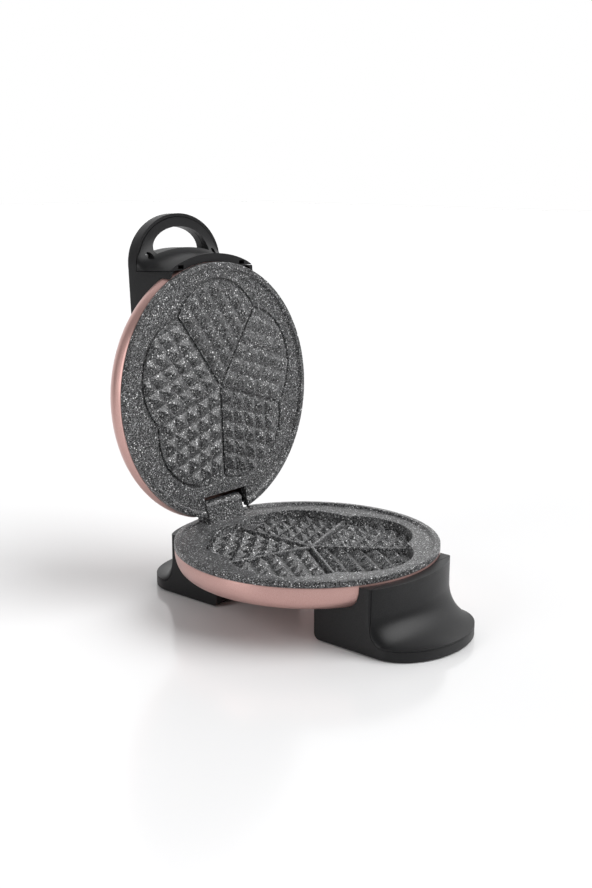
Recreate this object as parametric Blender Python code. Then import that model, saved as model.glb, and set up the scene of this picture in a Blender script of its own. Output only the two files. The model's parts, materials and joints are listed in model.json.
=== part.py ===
"""Heart waffle maker with an opening lid, standing open.

Metres, +Z up, front at -Y. Every piece is drawn about the centre of the lower plate, with z = 0 on the
plate's lip, and hangs from the empty "body_frame". The lid is drawn closed and hangs from "lid_pivot",
which lies on the hinge axis and turns it open.
"""

from math import atan2, cos, hypot, pi, radians, sin, sqrt

import bmesh
import bpy
from mathutils import Matrix

MM = 0.001

# Fits
GAP = 0.3 * MM  # between pieces that touch
SHELL_GAP = 0.4 * MM  # between a shell and what is shaped to it
PIN_PLAY = 0.3 * MM
WELD = 0.002 * MM  # points closer than this become one
SCREW_PLAY = 0.4 * MM
LID_GAP = 1.0 * MM  # between the two lips when the lid is closed

# Cooking plates
PLATE_RADIUS = 105 * MM
LOWER_EDGE = 4.8 * MM
UPPER_EDGE = 5.8 * MM
EDGE_ROUND = 0.8 * MM
LIP_WIDTH = 4.6 * MM
LIP_HEIGHT = 2 * MM
LIP_SLOPE = 0.8 * MM
LOWER_WALL = 4 * MM
UPPER_WALL = 6 * MM
SKIRT_INSET = 3 * MM
SKIRT_DEPTH = 2 * MM
BELLY_INSET = 12 * MM
BELLY_SLOPE = 3 * MM

# The five-heart pattern
PETALS = 5
FLOWER_SHIFT = 4.2 * MM  # towards the front
CUSP_RADIUS = PLATE_RADIUS - 30 * MM
PETAL_REACH = PLATE_RADIUS - 18 * MM
RECESS_DEPTH = 8.5 * MM
DIVIDER_WIDTH = 3 * MM
DIVIDER_HEIGHT = 4.5 * MM
GROOVE_WIDTH = 2.2 * MM
GROOVE_DEPTH = 1.5 * MM
STUD_PITCH = 13.4 * MM
STUD_SPACE = 1.4 * MM
STUD_START = 1.5 * MM
STUD_EDGE = 2.2 * MM
LOWER_STUD = 5 * MM
UPPER_STUD = 3.5 * MM
STUDS_A_SIDE = 6
SUNK = 0.5 * MM  # how far a joined shape reaches into the one it grows from

# Housings, as (share of the plate radius, depth) from the edge to the middle
SHELL_WALL = 1.3 * MM
LOWER_SHELL_DEPTH = 31.2 * MM
LOWER_SHELL_FORM = (
    (0.998, 0.163), (0.993, 0.385), (0.971, 0.593), (0.924, 0.737),
    (0.838, 0.827), (0.667, 0.917), (0.381, 0.981), (0, 1),
)
UPPER_SHELL_DEPTH = 42 * MM
UPPER_SHELL_FORM = (
    (1.003, 0.169), (1.01, 0.333), (0.986, 0.476), (0.933, 0.607),
    (0.838, 0.738), (0.667, 0.869), (0.381, 0.964), (0, 1),
)

# Hinge
HINGE_Y = PLATE_RADIUS - 9.5 * MM
HINGE_Z = 10.35 * MM
OPEN_ANGLE = radians(93.1)
PIN_RADIUS = 2.3 * MM
PIN_HALF = 30.5 * MM
TONGUE_HALF = 21 * MM
TONGUE_FOOT = 10.5 * MM
KNUCKLE_RADIUS = 5.5 * MM
NOTCH_HALF = 25 * MM
NOTCH_DEPTH = 10.5 * MM
RELIEF_SPARE = 3.8 * MM
RELIEF_DEPTH = 1.2 * MM
RELIEF_START = 2 * MM
CHEEK_RADIUS = 4.8 * MM
CHEEK_LENGTH = 6 * MM
CHEEK_SPACE = 1 * MM

# Feet
FLOOR_DROP = 57 * MM  # from the lip down to the table
FOOT = {
    "half": 52 * MM, "inner": PLATE_RADIUS - 55 * MM, "wall": PLATE_RADIUS + 9 * MM,
    "shoulder": PLATE_RADIUS - 9 * MM, "centre": PLATE_RADIUS + 3 * MM, "depth": 36.5 * MM,
    "start": 6 * MM, "flare": 26 * MM, "face": FLOOR_DROP - 10 * MM, "end": FLOOR_DROP - 0.8 * MM,
    "power": 2.0,
}
FOOT_SEAM = PLATE_RADIUS - 4 * MM
FOOT_SEAM_DEPTH = FLOOR_DROP - 8.5 * MM
SEAM_ROUND = 12 * MM
SEAM_TOP = 10 * MM  # how far past the lip the seam is cut
FOOT_CORNER = 4.5 * MM  # cut off the frame's lower inner edge
PLASTIC_WALL = 3 * MM
CORNER_POWER = 10  # a higher power turns the corners beside the plate more tightly
CEILING_DEPTH = LOWER_SHELL_DEPTH + 2.8 * MM
PAD_RADIUS = 8 * MM
PAD_X = 36 * MM
PAD_Y = PLATE_RADIUS + 9 * MM
PAD_SUNK = 2.5 * MM
FOOT_SCREW_X = 25 * MM
FOOT_SCREW_Y = PLATE_RADIUS - 29 * MM
FOOT_SCREW_LENGTH = 17 * MM
BOSS_RADIUS = 5 * MM

# Handle
HANDLE = {
    "half": 48 * MM, "inner": PLATE_RADIUS - 41 * MM, "wall": PLATE_RADIUS + 7 * MM,
    "shoulder": PLATE_RADIUS - 11 * MM, "centre": PLATE_RADIUS, "depth": 39.6 * MM,
    "start": 5.6 * MM, "flare": 18 * MM, "face": 43 * MM, "end": 53 * MM, "power": 3.0,
}
HANDLE_SEAM = PLATE_RADIUS - 5 * MM
HANDLE_INLAY = 3 * MM  # thickness of the inner cover's edge on the grip
HANDLE_SKIN = 2 * MM  # thickness of the rest of its face
HANDLE_RIM = 2.5 * MM  # the outer cover's edge around it
HANDLE_FLANGE = 2.2 * MM  # width of the inner cover's edge
HANDLE_CORNER = 4.5 * MM  # radius of the face's two near corners
GRIP_HALF = 31 * MM
GRIP_CENTRE = PLATE_RADIUS + 10 * MM
GRIP_DEPTH = 19 * MM
GRIP_NEAR = PLATE_RADIUS + 12 * MM
GRIP_WALL = 3 * MM
GRIP_NARROW = 0.96  # how much narrower the opening is beside the plate
HANDLE_SCREW_X = 36.6 * MM
HANDLE_SCREW_Y = PLATE_RADIUS + 7 * MM
HANDLE_SCREW_SKIN = 1.6 * MM  # what the screw clamps
HANDLE_SCREW_LENGTH = 5.5 * MM
HANDLE_SCREW_DEPTH = 4.5 * MM
HANDLE_BOSS_RADIUS = 4.6 * MM
SNAP_X = 35 * MM
SNAP_WIDTH = 6 * MM
SNAP_HEIGHT = 3 * MM
SNAP_Z = 11 * MM
LENS_RADIUS = 3 * MM
LENS_SPACING = 9 * MM
LENS_Y = PLATE_RADIUS - 21 * MM
LENS_PROUD = 0.8 * MM

# Heating and wiring
HEATER_RADIUS = 3.2 * MM
HEATER_RING = 62 * MM
HEATER_OPENING = 14  # degrees on each side of the rear
REFLECTOR_RADIUS = 54 * MM
REFLECTOR_RIM = 1.5 * MM
REFLECTOR_WALL = 1 * MM
STACK_HEIGHT = 8.5 * MM
STACK_BOSS_RING = 44 * MM
STACK_BOSS_RADIUS = 4 * MM
SCREW_SHANK = 1.7 * MM
SCREW_HEAD = 3.3 * MM
SCREW_HEAD_HEIGHT = 2.2 * MM
SCREW_HEAD_RIM = 0.5  # share of the head's height that is straight
SCREW_HEAD_TOP = 0.7  # share of its radius that is flat
SMALL_SCREW_LENGTH = 6 * MM
THERMOSTAT_RADIUS = 10 * MM
THERMOSTAT_HEIGHT = 5.5 * MM
BLOCK_SIZE = (26 * MM, 12 * MM, 5.5 * MM)
BLOCK_Y = -28 * MM
FUSE_RADIUS = 2 * MM
FUSE_LENGTH = 20 * MM
FUSE_Y = 20 * MM
GLAND_RADIUS = 5 * MM
GLAND_BORE = 3.6 * MM
GLAND_FLANGE = 7.5 * MM
GLAND_DROP = 15 * MM
GLAND_FLANGE_WIDTH = 2.5 * MM
GLAND_REACH = 22.5 * MM  # how far its hole runs to each side of the plate's edge

BIG_STEPS = 40
SMALL_STEPS = 16
SCREW_STEPS = 12
PETAL_STEPS = 8
HEATER_STEPS = 24
FRONT_STEPS = 16
FLARE_STEPS = 6

FRONT, REAR = -1, 1
DOWN, UP = -1, 1

RING_LEVEL = -LIP_HEIGHT
UPPER_RING_LEVEL = LID_GAP + LIP_HEIGHT
LOWER_BACK = RING_LEVEL - RECESS_DEPTH - LOWER_WALL
UPPER_BACK = UPPER_RING_LEVEL + UPPER_WALL
HALF_PETAL = pi / PETALS
# The lower lip is cut down between these, to let the upper plate's rear edge pass as the lid opens.
RELIEF_REACH = HINGE_Y + sqrt(HINGE_Z**2 - (HINGE_Z - LID_GAP) ** 2)
RELIEF_HALF = sqrt(PLATE_RADIUS**2 - RELIEF_REACH**2) + RELIEF_SPARE
PETAL_CHORD = CUSP_RADIUS * sin(HALF_PETAL)
PETAL_RISE = PETAL_REACH - CUSP_RADIUS * cos(HALF_PETAL)
PETAL_RADIUS = (PETAL_CHORD**2 + PETAL_RISE**2) / (2 * PETAL_RISE)
PETAL_CENTRE = PETAL_REACH - PETAL_RADIUS


# ---------- materials ----------

def material(name, colour, roughness, metallic=0.0):
    made = bpy.data.materials.new(name)
    made.use_nodes = True
    shader = made.node_tree.nodes["Principled BSDF"]
    shader.inputs["Base Color"].default_value = (*colour, 1)
    shader.inputs["Roughness"].default_value = roughness
    shader.inputs["Metallic"].default_value = metallic
    made.diffuse_color = (*colour, 1)
    return made


# ---------- mesh helpers ----------

def new_object(name, verts, faces):
    """A closed mesh object with its faces turned outwards."""
    mesh = bpy.data.meshes.new(name)
    made = bmesh.new()
    points = [made.verts.new(v) for v in verts]
    for face in faces:
        made.faces.new([points[i] for i in face])
    bmesh.ops.recalc_face_normals(made, faces=made.faces)
    made.to_mesh(mesh)
    made.free()
    obj = bpy.data.objects.new(name, mesh)
    bpy.context.collection.objects.link(obj)
    return obj


def loft(name, rings):
    """Joins rings of equally many points, and closes both ends."""
    count = len(rings[0])
    verts = [point for ring in rings for point in ring]
    faces = [tuple(range(count)), tuple((len(rings) - 1) * count + i for i in range(count))]
    for level in range(len(rings) - 1):
        for i in range(count):
            low, high = level * count, (level + 1) * count
            faces.append((low + i, low + (i + 1) % count, high + (i + 1) % count, high + i))
    return new_object(name, verts, faces)


def prism(name, outline, low, high):
    return loft(name, [[(x, y, z) for x, y in outline] for z in (low, high)])


def side_prism(name, outline, half):
    """A (y, z) outline drawn out along X."""
    return loft(name, [[(x, y, z) for y, z in outline] for x in (-half, half)])


def box(name, low, high):
    outline = [(low[0], low[1]), (high[0], low[1]), (high[0], high[1]), (low[0], high[1])]
    return prism(name, outline, low[2], high[2])


def circle(radius, steps, centre=(0, 0)):
    turns = [2 * pi * i / steps for i in range(steps)]
    return [(centre[0] + radius * cos(t), centre[1] + radius * sin(t)) for t in turns]


def rod(name, radius, low, high, axis="Z", steps=SMALL_STEPS):
    """A cylinder along an axis, between two end centres."""
    rings = []
    for end in (low, high):
        ring = circle(radius, steps)
        if axis == "Z":
            rings.append([(end[0] + a, end[1] + b, end[2]) for a, b in ring])
        elif axis == "X":
            rings.append([(end[0], end[1] + a, end[2] + b) for a, b in ring])
        else:
            rings.append([(end[0] + a, end[1], end[2] + b) for a, b in ring])
    return loft(name, rings)


def turned(name, profile, steps=BIG_STEPS, centre=(0, 0)):
    """Turns (radius, z) points about a vertical axis. A profile off the axis closes on itself."""
    verts, rings, faces = [], [], []
    for radius, z in profile:
        ring = circle(radius, steps, centre) if radius > 0 else [centre]
        rings.append(range(len(verts), len(verts) + len(ring)))
        verts += [(x, y, z) for x, y in ring]
    pairs = list(zip(rings, rings[1:]))
    if profile[0][0] > 0:
        pairs.append((rings[-1], rings[0]))
    for low, high in pairs:
        for i in range(steps):
            near = [ring[i % len(ring)] for ring in (low, high)]
            ahead = [ring[(i + 1) % len(ring)] for ring in (low, high)]
            corners = list(dict.fromkeys((near[0], ahead[0], ahead[1], near[1])))
            if len(corners) > 2:
                faces.append(corners)
    return new_object(name, verts, faces)


def combine(target, tool, operation, solver="EXACT"):
    """Applies a Boolean, welds what it left almost touching, and removes the tool."""
    step = target.modifiers.new(operation.lower(), "BOOLEAN")
    step.operation = operation
    step.solver = solver
    step.object = tool
    graph = bpy.context.evaluated_depsgraph_get()
    mesh = bpy.data.meshes.new_from_object(target.evaluated_get(graph))
    welded = bmesh.new()
    welded.from_mesh(mesh)
    bmesh.ops.remove_doubles(welded, verts=welded.verts, dist=WELD)
    bmesh.ops.dissolve_degenerate(welded, edges=welded.edges, dist=WELD)
    welded.to_mesh(mesh)
    welded.free()
    target.modifiers.clear()
    target.data = mesh
    bpy.data.objects.remove(tool)
    return target


def cut(target, *tools, solver="EXACT"):
    for tool in tools:
        combine(target, tool, "DIFFERENCE", solver)
    return target


def join(target, *tools, solver="EXACT"):
    for tool in tools:
        combine(target, tool, "UNION", solver)
    return target


def keep(target, tool, solver="EXACT"):
    return combine(target, tool, "INTERSECT", solver)


def carve(target, *tools):
    """Cuts one of the plastic mouldings, whose curved walls meet at grazing angles."""
    return cut(target, *tools, solver="MANIFOLD")


def attach(target, *tools):
    """Joins more onto one of the plastic mouldings."""
    return join(target, *tools, solver="MANIFOLD")


def trim(target, tool):
    """Keeps the part of one of the plastic mouldings that lies inside the tool."""
    return keep(target, tool, solver="MANIFOLD")


def finish(obj, look, parent):
    """Gives a piece its look and hangs it in place."""
    obj.data.materials.clear()
    obj.data.materials.append(look)
    obj.data.shade_smooth()
    obj.data.set_sharp_from_angle(angle=radians(30))
    if parent.name == "lid_pivot":
        obj.data.transform(Matrix.Translation((0, -HINGE_Y, -HINGE_Z)))
    obj.parent = parent
    return obj


# ---------- the heart pattern ----------

def flower_point(radius, turn):
    """A point of the pattern, with the turn counted from the front towards +X."""
    return radius * sin(turn), -radius * cos(turn) - FLOWER_SHIFT


def flower_outline(inset):
    """Five arcs that meet in cusps."""
    radius = PETAL_RADIUS - inset
    cusp = PETAL_CENTRE * cos(HALF_PETAL) + sqrt(radius**2 - (PETAL_CENTRE * sin(HALF_PETAL)) ** 2)
    half = atan2(cusp * sin(HALF_PETAL), cusp * cos(HALF_PETAL) - PETAL_CENTRE)
    points = []
    for petal in range(PETALS):
        for i in range(PETAL_STEPS):
            turn = half * (2 * i / PETAL_STEPS - 1)
            along, across = PETAL_CENTRE + radius * cos(turn), radius * sin(turn)
            points.append(flower_point(hypot(along, across), 2 * HALF_PETAL * petal + atan2(across, along)))
    return points


def divider_outline(width):
    """A star of five bars, one to each cusp."""
    points = []
    for arm in range(PETALS):
        turn = HALF_PETAL * (2 * arm + 1)
        for side in (-1, 1):
            reach = CUSP_RADIUS + SUNK
            points.append(flower_point(hypot(reach, width / 2), turn + side * atan2(width / 2, reach)))
        points.append(flower_point(width / 2 / sin(HALF_PETAL), turn + HALF_PETAL))
    return points


def stud(corners, base, tip):
    """The points and faces of one pyramid."""
    middle = [sum(axis) / 4 for axis in zip(*corners)]
    points = [(x, y, base) for x, y in corners] + [(*middle, tip)]
    return points, [(0, 1, 2, 3), (0, 1, 4), (1, 2, 4), (2, 3, 4), (3, 0, 4)]


def stud_foot(petal, row, column):
    """The four corners of one pyramid, in rows along the petal's two dividers."""
    axis = 2 * HALF_PETAL * petal
    first = (sin(axis + HALF_PETAL), -cos(axis + HALF_PETAL))
    second = (sin(axis - HALF_PETAL), -cos(axis - HALF_PETAL))
    low, high = STUD_START + STUD_SPACE / 2, STUD_START + STUD_PITCH - STUD_SPACE / 2
    corners = []
    for a, b in ((low, low), (high, low), (high, high), (low, high)):
        along, across = a + row * STUD_PITCH, b + column * STUD_PITCH
        x, y = [along * one + across * other for one, other in zip(first, second)]
        corners.append((x, y - FLOWER_SHIFT))
    return corners


def studs(name, base, tip):
    """Rows of pyramids in each petal, parallel to its two dividers, and trimmed to the outline."""
    verts, faces = [], []
    for petal in range(PETALS):
        middle = flower_point(PETAL_CENTRE, 2 * HALF_PETAL * petal)
        for row in range(STUDS_A_SIDE):
            for column in range(STUDS_A_SIDE):
                corners = stud_foot(petal, row, column)
                x, y = [sum(side) / 4 for side in zip(*corners)]
                if hypot(x - middle[0], y - middle[1]) < PETAL_RADIUS - STUD_EDGE - STUD_SPACE:
                    points, sides = stud(corners, base, tip)
                    faces += [[len(verts) + n for n in side] for side in sides]
                    verts += points
    made = new_object(name, verts, faces)
    low, high = min(base, tip) - SUNK, max(base, tip) + SUNK
    return keep(made, prism("trim", flower_outline(STUD_EDGE), low, high))


# ---------- cooking plates ----------

def plate_profile(edge, back, belly):
    """(radius, z) from the middle of the back round the rim to the middle of the cooking side."""
    out = PLATE_RADIUS
    skirt = out - SKIRT_INSET
    points = [(0, back)]
    if belly:
        belly_edge = out - BELLY_INSET
        points += [(belly_edge - BELLY_SLOPE, back), (belly_edge, -edge - SKIRT_DEPTH)]
        points.append((skirt, -edge - SKIRT_DEPTH))
    else:
        points.append((skirt, back))
    points += [(skirt, -edge), (out, -edge), (out, -EDGE_ROUND), (out - EDGE_ROUND, 0)]
    points += [(out - LIP_WIDTH, 0), (out - LIP_WIDTH - LIP_SLOPE, -LIP_HEIGHT), (0, -LIP_HEIGHT)]
    return points


def tongue_outline():
    """The hinge tongue from the side: it narrows from the plate up to the knuckle."""
    steps = SMALL_STEPS // 2
    turns = [pi * i / steps for i in range(steps + 1)]
    arc = [(HINGE_Y - KNUCKLE_RADIUS * cos(t), HINGE_Z + KNUCKLE_RADIUS * sin(t)) for t in turns]
    low = RING_LEVEL - LIP_HEIGHT
    return [(HINGE_Y - TONGUE_FOOT, low), *arc, (HINGE_Y + KNUCKLE_RADIUS, low)]


def hinge_hole(name, half):
    radius = PIN_RADIUS + PIN_PLAY
    return rod(name, radius, (-half, HINGE_Y, HINGE_Z), (half, HINGE_Y, HINGE_Z), "X")


def stack_bosses():
    """Places of the three posts behind each plate that carry its reflector."""
    return [(STACK_BOSS_RING * cos(t), STACK_BOSS_RING * sin(t)) for t in (pi / 2, pi * 7 / 6, pi * 11 / 6)]


def foot_screws(end):
    return [(side * FOOT_SCREW_X, end * FOOT_SCREW_Y) for side in (-1, 1)]


def shell_depth_at(radius):
    """Depth of the lower shell's outside at a radius."""
    form = [(share * PLATE_RADIUS, depth * LOWER_SHELL_DEPTH) for share, depth in LOWER_SHELL_FORM]
    for (outer, low), (inner, high) in zip(form, form[1:]):
        if inner <= radius <= outer:
            return low + (high - low) * (outer - radius) / (outer - inner)
    return form[0][1]


def post(name, place, radius, base, tip, hole, depth):
    """A post with a blind screw hole in its tip."""
    made = rod(name, radius, (*place, base), (*place, tip))
    away = 1 if tip > base else -1
    drill = rod("drill", hole, (*place, tip - away * depth), (*place, tip + away * SUNK))
    return cut(made, drill)


def lower_plate(look, parent):
    made = turned("lower_plate", plate_profile(LOWER_EDGE, LOWER_BACK, True))
    floor = RING_LEVEL - RECESS_DEPTH
    cut(made, prism("recess", flower_outline(0), floor, SUNK + LIP_HEIGHT))
    join(made, prism("dividers", divider_outline(DIVIDER_WIDTH), floor - SUNK, floor + DIVIDER_HEIGHT))
    join(made, studs("studs", floor - SUNK, floor + LOWER_STUD))
    far, start = PLATE_RADIUS * 2, HINGE_Y - RELIEF_START
    cut(made, box("relief", (-RELIEF_HALF, start, -RELIEF_DEPTH), (RELIEF_HALF, far, far)))
    join(made, side_prism("tongue", tongue_outline(), TONGUE_HALF))
    cut(made, hinge_hole("bore", TONGUE_HALF + SUNK))
    hole = SCREW_SHANK + SCREW_PLAY
    for place in stack_bosses():
        tip = LOWER_BACK - STACK_HEIGHT + GAP
        join(made, post("post", place, STACK_BOSS_RADIUS, LOWER_BACK + SUNK, tip, hole, SMALL_SCREW_LENGTH))
    tip = -shell_depth_at(hypot(FOOT_SCREW_X, FOOT_SCREW_Y) + BOSS_RADIUS) + SHELL_WALL + 2 * GAP
    for place in foot_screws(FRONT) + foot_screws(REAR):
        depth = LOWER_BACK - tip + LOWER_WALL / 2
        join(made, post("post", place, BOSS_RADIUS, LOWER_BACK + SUNK, tip, hole, depth))
    return finish(made, look, parent)


def upper_plate(look, parent):
    made = turned("upper_plate", plate_profile(UPPER_EDGE, -LIP_HEIGHT - UPPER_WALL, False))
    made.data.transform(Matrix.Translation((0, 0, LID_GAP)) @ Matrix.Scale(-1, 4, (0, 0, 1)))
    made.data.flip_normals()
    far, rear = PLATE_RADIUS * 2, HINGE_Y - NOTCH_DEPTH
    cut(made, box("notch", (-NOTCH_HALF, rear, -far), (NOTCH_HALF, far, far)))
    for side in (-1, 1):
        ends = [(side * (NOTCH_HALF + x), HINGE_Y, HINGE_Z) for x in (0, CHEEK_LENGTH)]
        join(made, rod("cheek", CHEEK_RADIUS, *ends, "X"))
    cut(made, hinge_hole("bore", NOTCH_HALF + CHEEK_LENGTH + SUNK))
    tip, hole = UPPER_BACK + STACK_HEIGHT - GAP, SCREW_SHANK + SCREW_PLAY
    for place in stack_bosses():
        join(made, post("post", place, STACK_BOSS_RADIUS, UPPER_BACK - SUNK, tip, hole, SMALL_SCREW_LENGTH))
    level = UPPER_RING_LEVEL
    groove = prism("groove", flower_outline(-GROOVE_WIDTH / 2), 0, level + GROOVE_DEPTH)
    cut(groove, prism("field", flower_outline(GROOVE_WIDTH / 2), -SUNK, level + GROOVE_DEPTH + SUNK))
    cut(made, groove, prism("cross", divider_outline(GROOVE_WIDTH), 0, level + GROOVE_DEPTH))
    join(made, studs("studs", level + SUNK, level - UPPER_STUD))
    return finish(made, look, parent)


# ---------- housings ----------

def shell_outline(form, depth, sign, grow):
    """(radius, z) of a housing from its edge to its middle, grown outwards by a distance."""
    places = [(share * PLATE_RADIUS, sign * part * depth) for share, part in form]
    grown = []
    for i, (radius, z) in enumerate(places):
        before = places[max(i - 1, 0)]
        after = places[min(i + 1, len(places) - 1)]
        along = (after[0] - before[0], after[1] - before[1])
        length = hypot(*along)
        outward = (sign * along[1] / length, -sign * along[0] / length)
        if radius == 0:
            outward = (0, sign)
        grown.append((radius + grow * outward[0], z + grow * outward[1]))
    grown[0] = (grown[0][0], places[0][1])
    return grown


def shell_clearance(name, form, depth, sign):
    """The space that a housing needs, open to the plate's side."""
    outline = shell_outline(form, depth, sign, SHELL_GAP)
    lip = (outline[0][0], -sign * PLATE_RADIUS)
    return turned(name, [(0, lip[1]), lip, *outline])


def shell(name, form, depth, sign):
    """A sheet-metal bowl: down its outside and back up its inside."""
    outer = shell_outline(form, depth, sign, 0)
    inner = shell_outline(form, depth, sign, -SHELL_WALL)
    return turned(name, outer + inner[::-1])


def gland_hole():
    """The bore for the gland, through all that it passes at the rear."""
    ends = [(0, y, -GLAND_DROP) for y in (PLATE_RADIUS - GLAND_REACH, PLATE_RADIUS + GLAND_REACH)]
    return rod("hole", GLAND_RADIUS + GAP, *ends, "Y")


def lower_shell(look, parent):
    made = shell("lower_shell", LOWER_SHELL_FORM, LOWER_SHELL_DEPTH, DOWN)
    hole = SCREW_SHANK + SCREW_PLAY
    for place in foot_screws(FRONT) + foot_screws(REAR):
        cut(made, rod("hole", hole, (*place, -LOWER_SHELL_DEPTH), (*place, LOWER_BACK)))
    cut(made, gland_hole())
    return finish(made, look, parent)


def upper_shell(look, parent):
    made = shell("upper_shell", UPPER_SHELL_FORM, UPPER_SHELL_DEPTH, UP)
    half = NOTCH_HALF + CHEEK_LENGTH + CHEEK_SPACE
    rear = HINGE_Y - NOTCH_DEPTH
    top = HINGE_Z + KNUCKLE_RADIUS + CHEEK_SPACE
    cut(made, box("notch", (-half, rear, 0), (half, PLATE_RADIUS * 2, top)))
    return finish(made, look, parent)


# ---------- feet and handle ----------

def flare_outline(form, share, inset, end):
    """Seen from above: an arc round the plate at share 0, opening into half an ellipse at share 1."""
    half = form["half"] - inset
    wall = form["wall"] - inset
    points = []
    for i in range(FRONT_STEPS + 1):
        turn = pi * i / FRONT_STEPS
        x = half * cos(turn)
        corner = (1 - abs(cos(turn)) ** CORNER_POWER) ** (1 / CORNER_POWER)
        near = form["shoulder"] + (sqrt(wall**2 - x**2) - form["shoulder"]) * corner
        far = form["centre"] + (form["depth"] - inset) * sin(turn)
        points.append((x, near + (far - near) * share))
    back = form["inner"] + inset
    points += [(-half, back), (half, back)]
    return [(x, end * y) for x, y in points]


def flare_levels(form):
    """(share, depth) from the plain wall, through the hollow curve, to the flat face and its edge."""
    levels = [(0, form["start"]), (0, form["flare"])]
    power, rise = form["power"], form["face"] - form["flare"]
    for i in range(1, FLARE_STEPS + 1):
        turn = pi / 2 * i / FLARE_STEPS
        height = sin(turn) ** (2 / power) if i < FLARE_STEPS - 1 else 1
        levels.append((1 - cos(turn) ** (2 / power), form["flare"] + rise * height))
    return levels


def flare(name, form, end, sign, inset=0, shift=0, bottom=None):
    """A foot or a handle: its wall follows the plate, and then flares out to a thick flat rim."""
    rings = []
    for share, depth in flare_levels(form):
        rings.append([(x, y, sign * (depth + shift)) for x, y in flare_outline(form, share, inset, end)])
    last = form["end"] if bottom is None else bottom
    rounding = EDGE_ROUND if bottom is None else 0
    rings.append([(x, y, sign * (last - rounding)) for x, y in flare_outline(form, 1, inset, end)])
    if rounding:
        rings.append([(x, y, sign * last) for x, y in flare_outline(form, 1, inset + rounding, end)])
    return loft(name, rings)


def seam_prism(seam, depth, end, sign, half, spare):
    """The space in front of a seam that runs along the wall and turns out under the rim."""
    steps = SMALL_STEPS // 4
    far, near, level = PLATE_RADIUS * 2, seam + spare, depth - spare
    turns = [pi / 2 * i / steps for i in range(steps + 1)]
    bend = [(near + SEAM_ROUND * (1 - cos(t)), level - SEAM_ROUND * (1 - sin(t))) for t in turns]
    outline = [(near, -SEAM_TOP), *bend, (far, level), (far, -SEAM_TOP)]
    return side_prism("seam", [(end * y, sign * z) for y, z in outline], half * 2)


def lower_clearance():
    return shell_clearance("clearance", LOWER_SHELL_FORM, LOWER_SHELL_DEPTH, DOWN)


def foot_seam(end, spare):
    return seam_prism(FOOT_SEAM, FOOT_SEAM_DEPTH, end, DOWN, FOOT["half"], spare)


def foot_frame(name, end, look, parent):
    """The hollow stand, with a ledge that carries the foot's cover and the rubber pads."""
    made = carve(flare(name, FOOT, end, DOWN), foot_seam(end, 0), lower_clearance())
    half, inner = FOOT["half"] - PLASTIC_WALL, FOOT["inner"] + PLASTIC_WALL
    ledge = FOOT_SEAM_DEPTH + PLASTIC_WALL
    low = -FLOOR_DROP - LIP_HEIGHT
    outline = flare_outline(FOOT, 1, PLASTIC_WALL, end)
    carve(made, prism("hollow", outline, low, -ledge))
    ys = sorted((end * inner, end * (FOOT_SEAM - PLASTIC_WALL)))
    carve(made, box("hollow", (-half, ys[0], -ledge - SUNK), (half, ys[1], -CEILING_DEPTH)))
    bottom = -FOOT["end"]
    edge = [(FOOT["inner"] - SUNK, bottom - SUNK), (FOOT["inner"] + FOOT_CORNER + SUNK, bottom - SUNK),
            (FOOT["inner"] - SUNK, bottom + FOOT_CORNER + SUNK)]
    carve(made, side_prism("edge", [(end * y, z) for y, z in edge], FOOT["half"] + SUNK))
    for side in (-1, 1):
        place = (side * PAD_X, end * PAD_Y)
        attach(made, rod("boss", PAD_RADIUS + PLASTIC_WALL, (*place, bottom), (*place, -ledge + SUNK)))
        socket = (*place, -FLOOR_DROP + PAD_SUNK + GAP)
        carve(made, rod("socket", PAD_RADIUS + GAP, (*place, low), socket))
    for place in foot_screws(end):
        ends = [(*place, -CEILING_DEPTH - SUNK), (*place, 0)]
        carve(made, rod("hole", SCREW_SHANK + SCREW_PLAY, *ends))
    if end == REAR:
        carve(made, gland_hole())
    return finish(made, look, parent)


def foot_cover(name, end, look, parent):
    """The skin over the foot's flared side, open towards the frame."""
    made = flare(name, FOOT, end, DOWN)
    trim(made, foot_seam(end, GAP))
    carve(made, lower_clearance())
    past = FOOT["end"] + PLASTIC_WALL * 2
    carve(made, flare("hollow", FOOT, end, DOWN, PLASTIC_WALL, PLASTIC_WALL, past))
    if end == REAR:
        carve(made, gland_hole())
    return finish(made, look, parent)


def rubber_pad(name, x, y, look, parent):
    made = rod(name, PAD_RADIUS, (x, y, -FLOOR_DROP), (x, y, -FLOOR_DROP + PAD_SUNK))
    return finish(made, look, parent)


def grip_outline(grow):
    """The finger opening: a half ellipse closed by an arc round the plate."""
    half, depth, near = GRIP_HALF + grow, GRIP_DEPTH + grow, GRIP_NEAR - grow
    turns = [pi * i / FRONT_STEPS for i in range(FRONT_STEPS + 1)]
    far = [(half * cos(t), -GRIP_CENTRE - depth * sin(t)) for t in turns]
    steps = FRONT_STEPS // 2
    xs = [half * (2 * i / steps - 1) * GRIP_NARROW for i in range(steps + 1)]
    return far + [(x, -sqrt(near**2 - x**2)) for x in xs]


def grip(grow, low, high):
    return prism("grip", grip_outline(grow), low, high)


def upper_clearance():
    return shell_clearance("clearance", UPPER_SHELL_FORM, UPPER_SHELL_DEPTH, UP)


def face_outline(inset, spare):
    """The face that lies in the grip: the flare's outline, closed near the seam by two round corners."""
    near, half, steps = HANDLE_SEAM + spare + WELD, HANDLE["half"] - inset, SMALL_STEPS // 4
    turns = [pi / 2 * i / steps for i in range(steps + 1)]
    corner = [(half - HANDLE_CORNER * (1 - cos(t)), near + HANDLE_CORNER * (1 - sin(t))) for t in turns]
    edge = [(-x, -y) for x, y in corner] + [(x, -y) for x, y in reversed(corner)]
    return flare_outline(HANDLE, 1, inset, FRONT)[:-2] + edge


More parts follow.
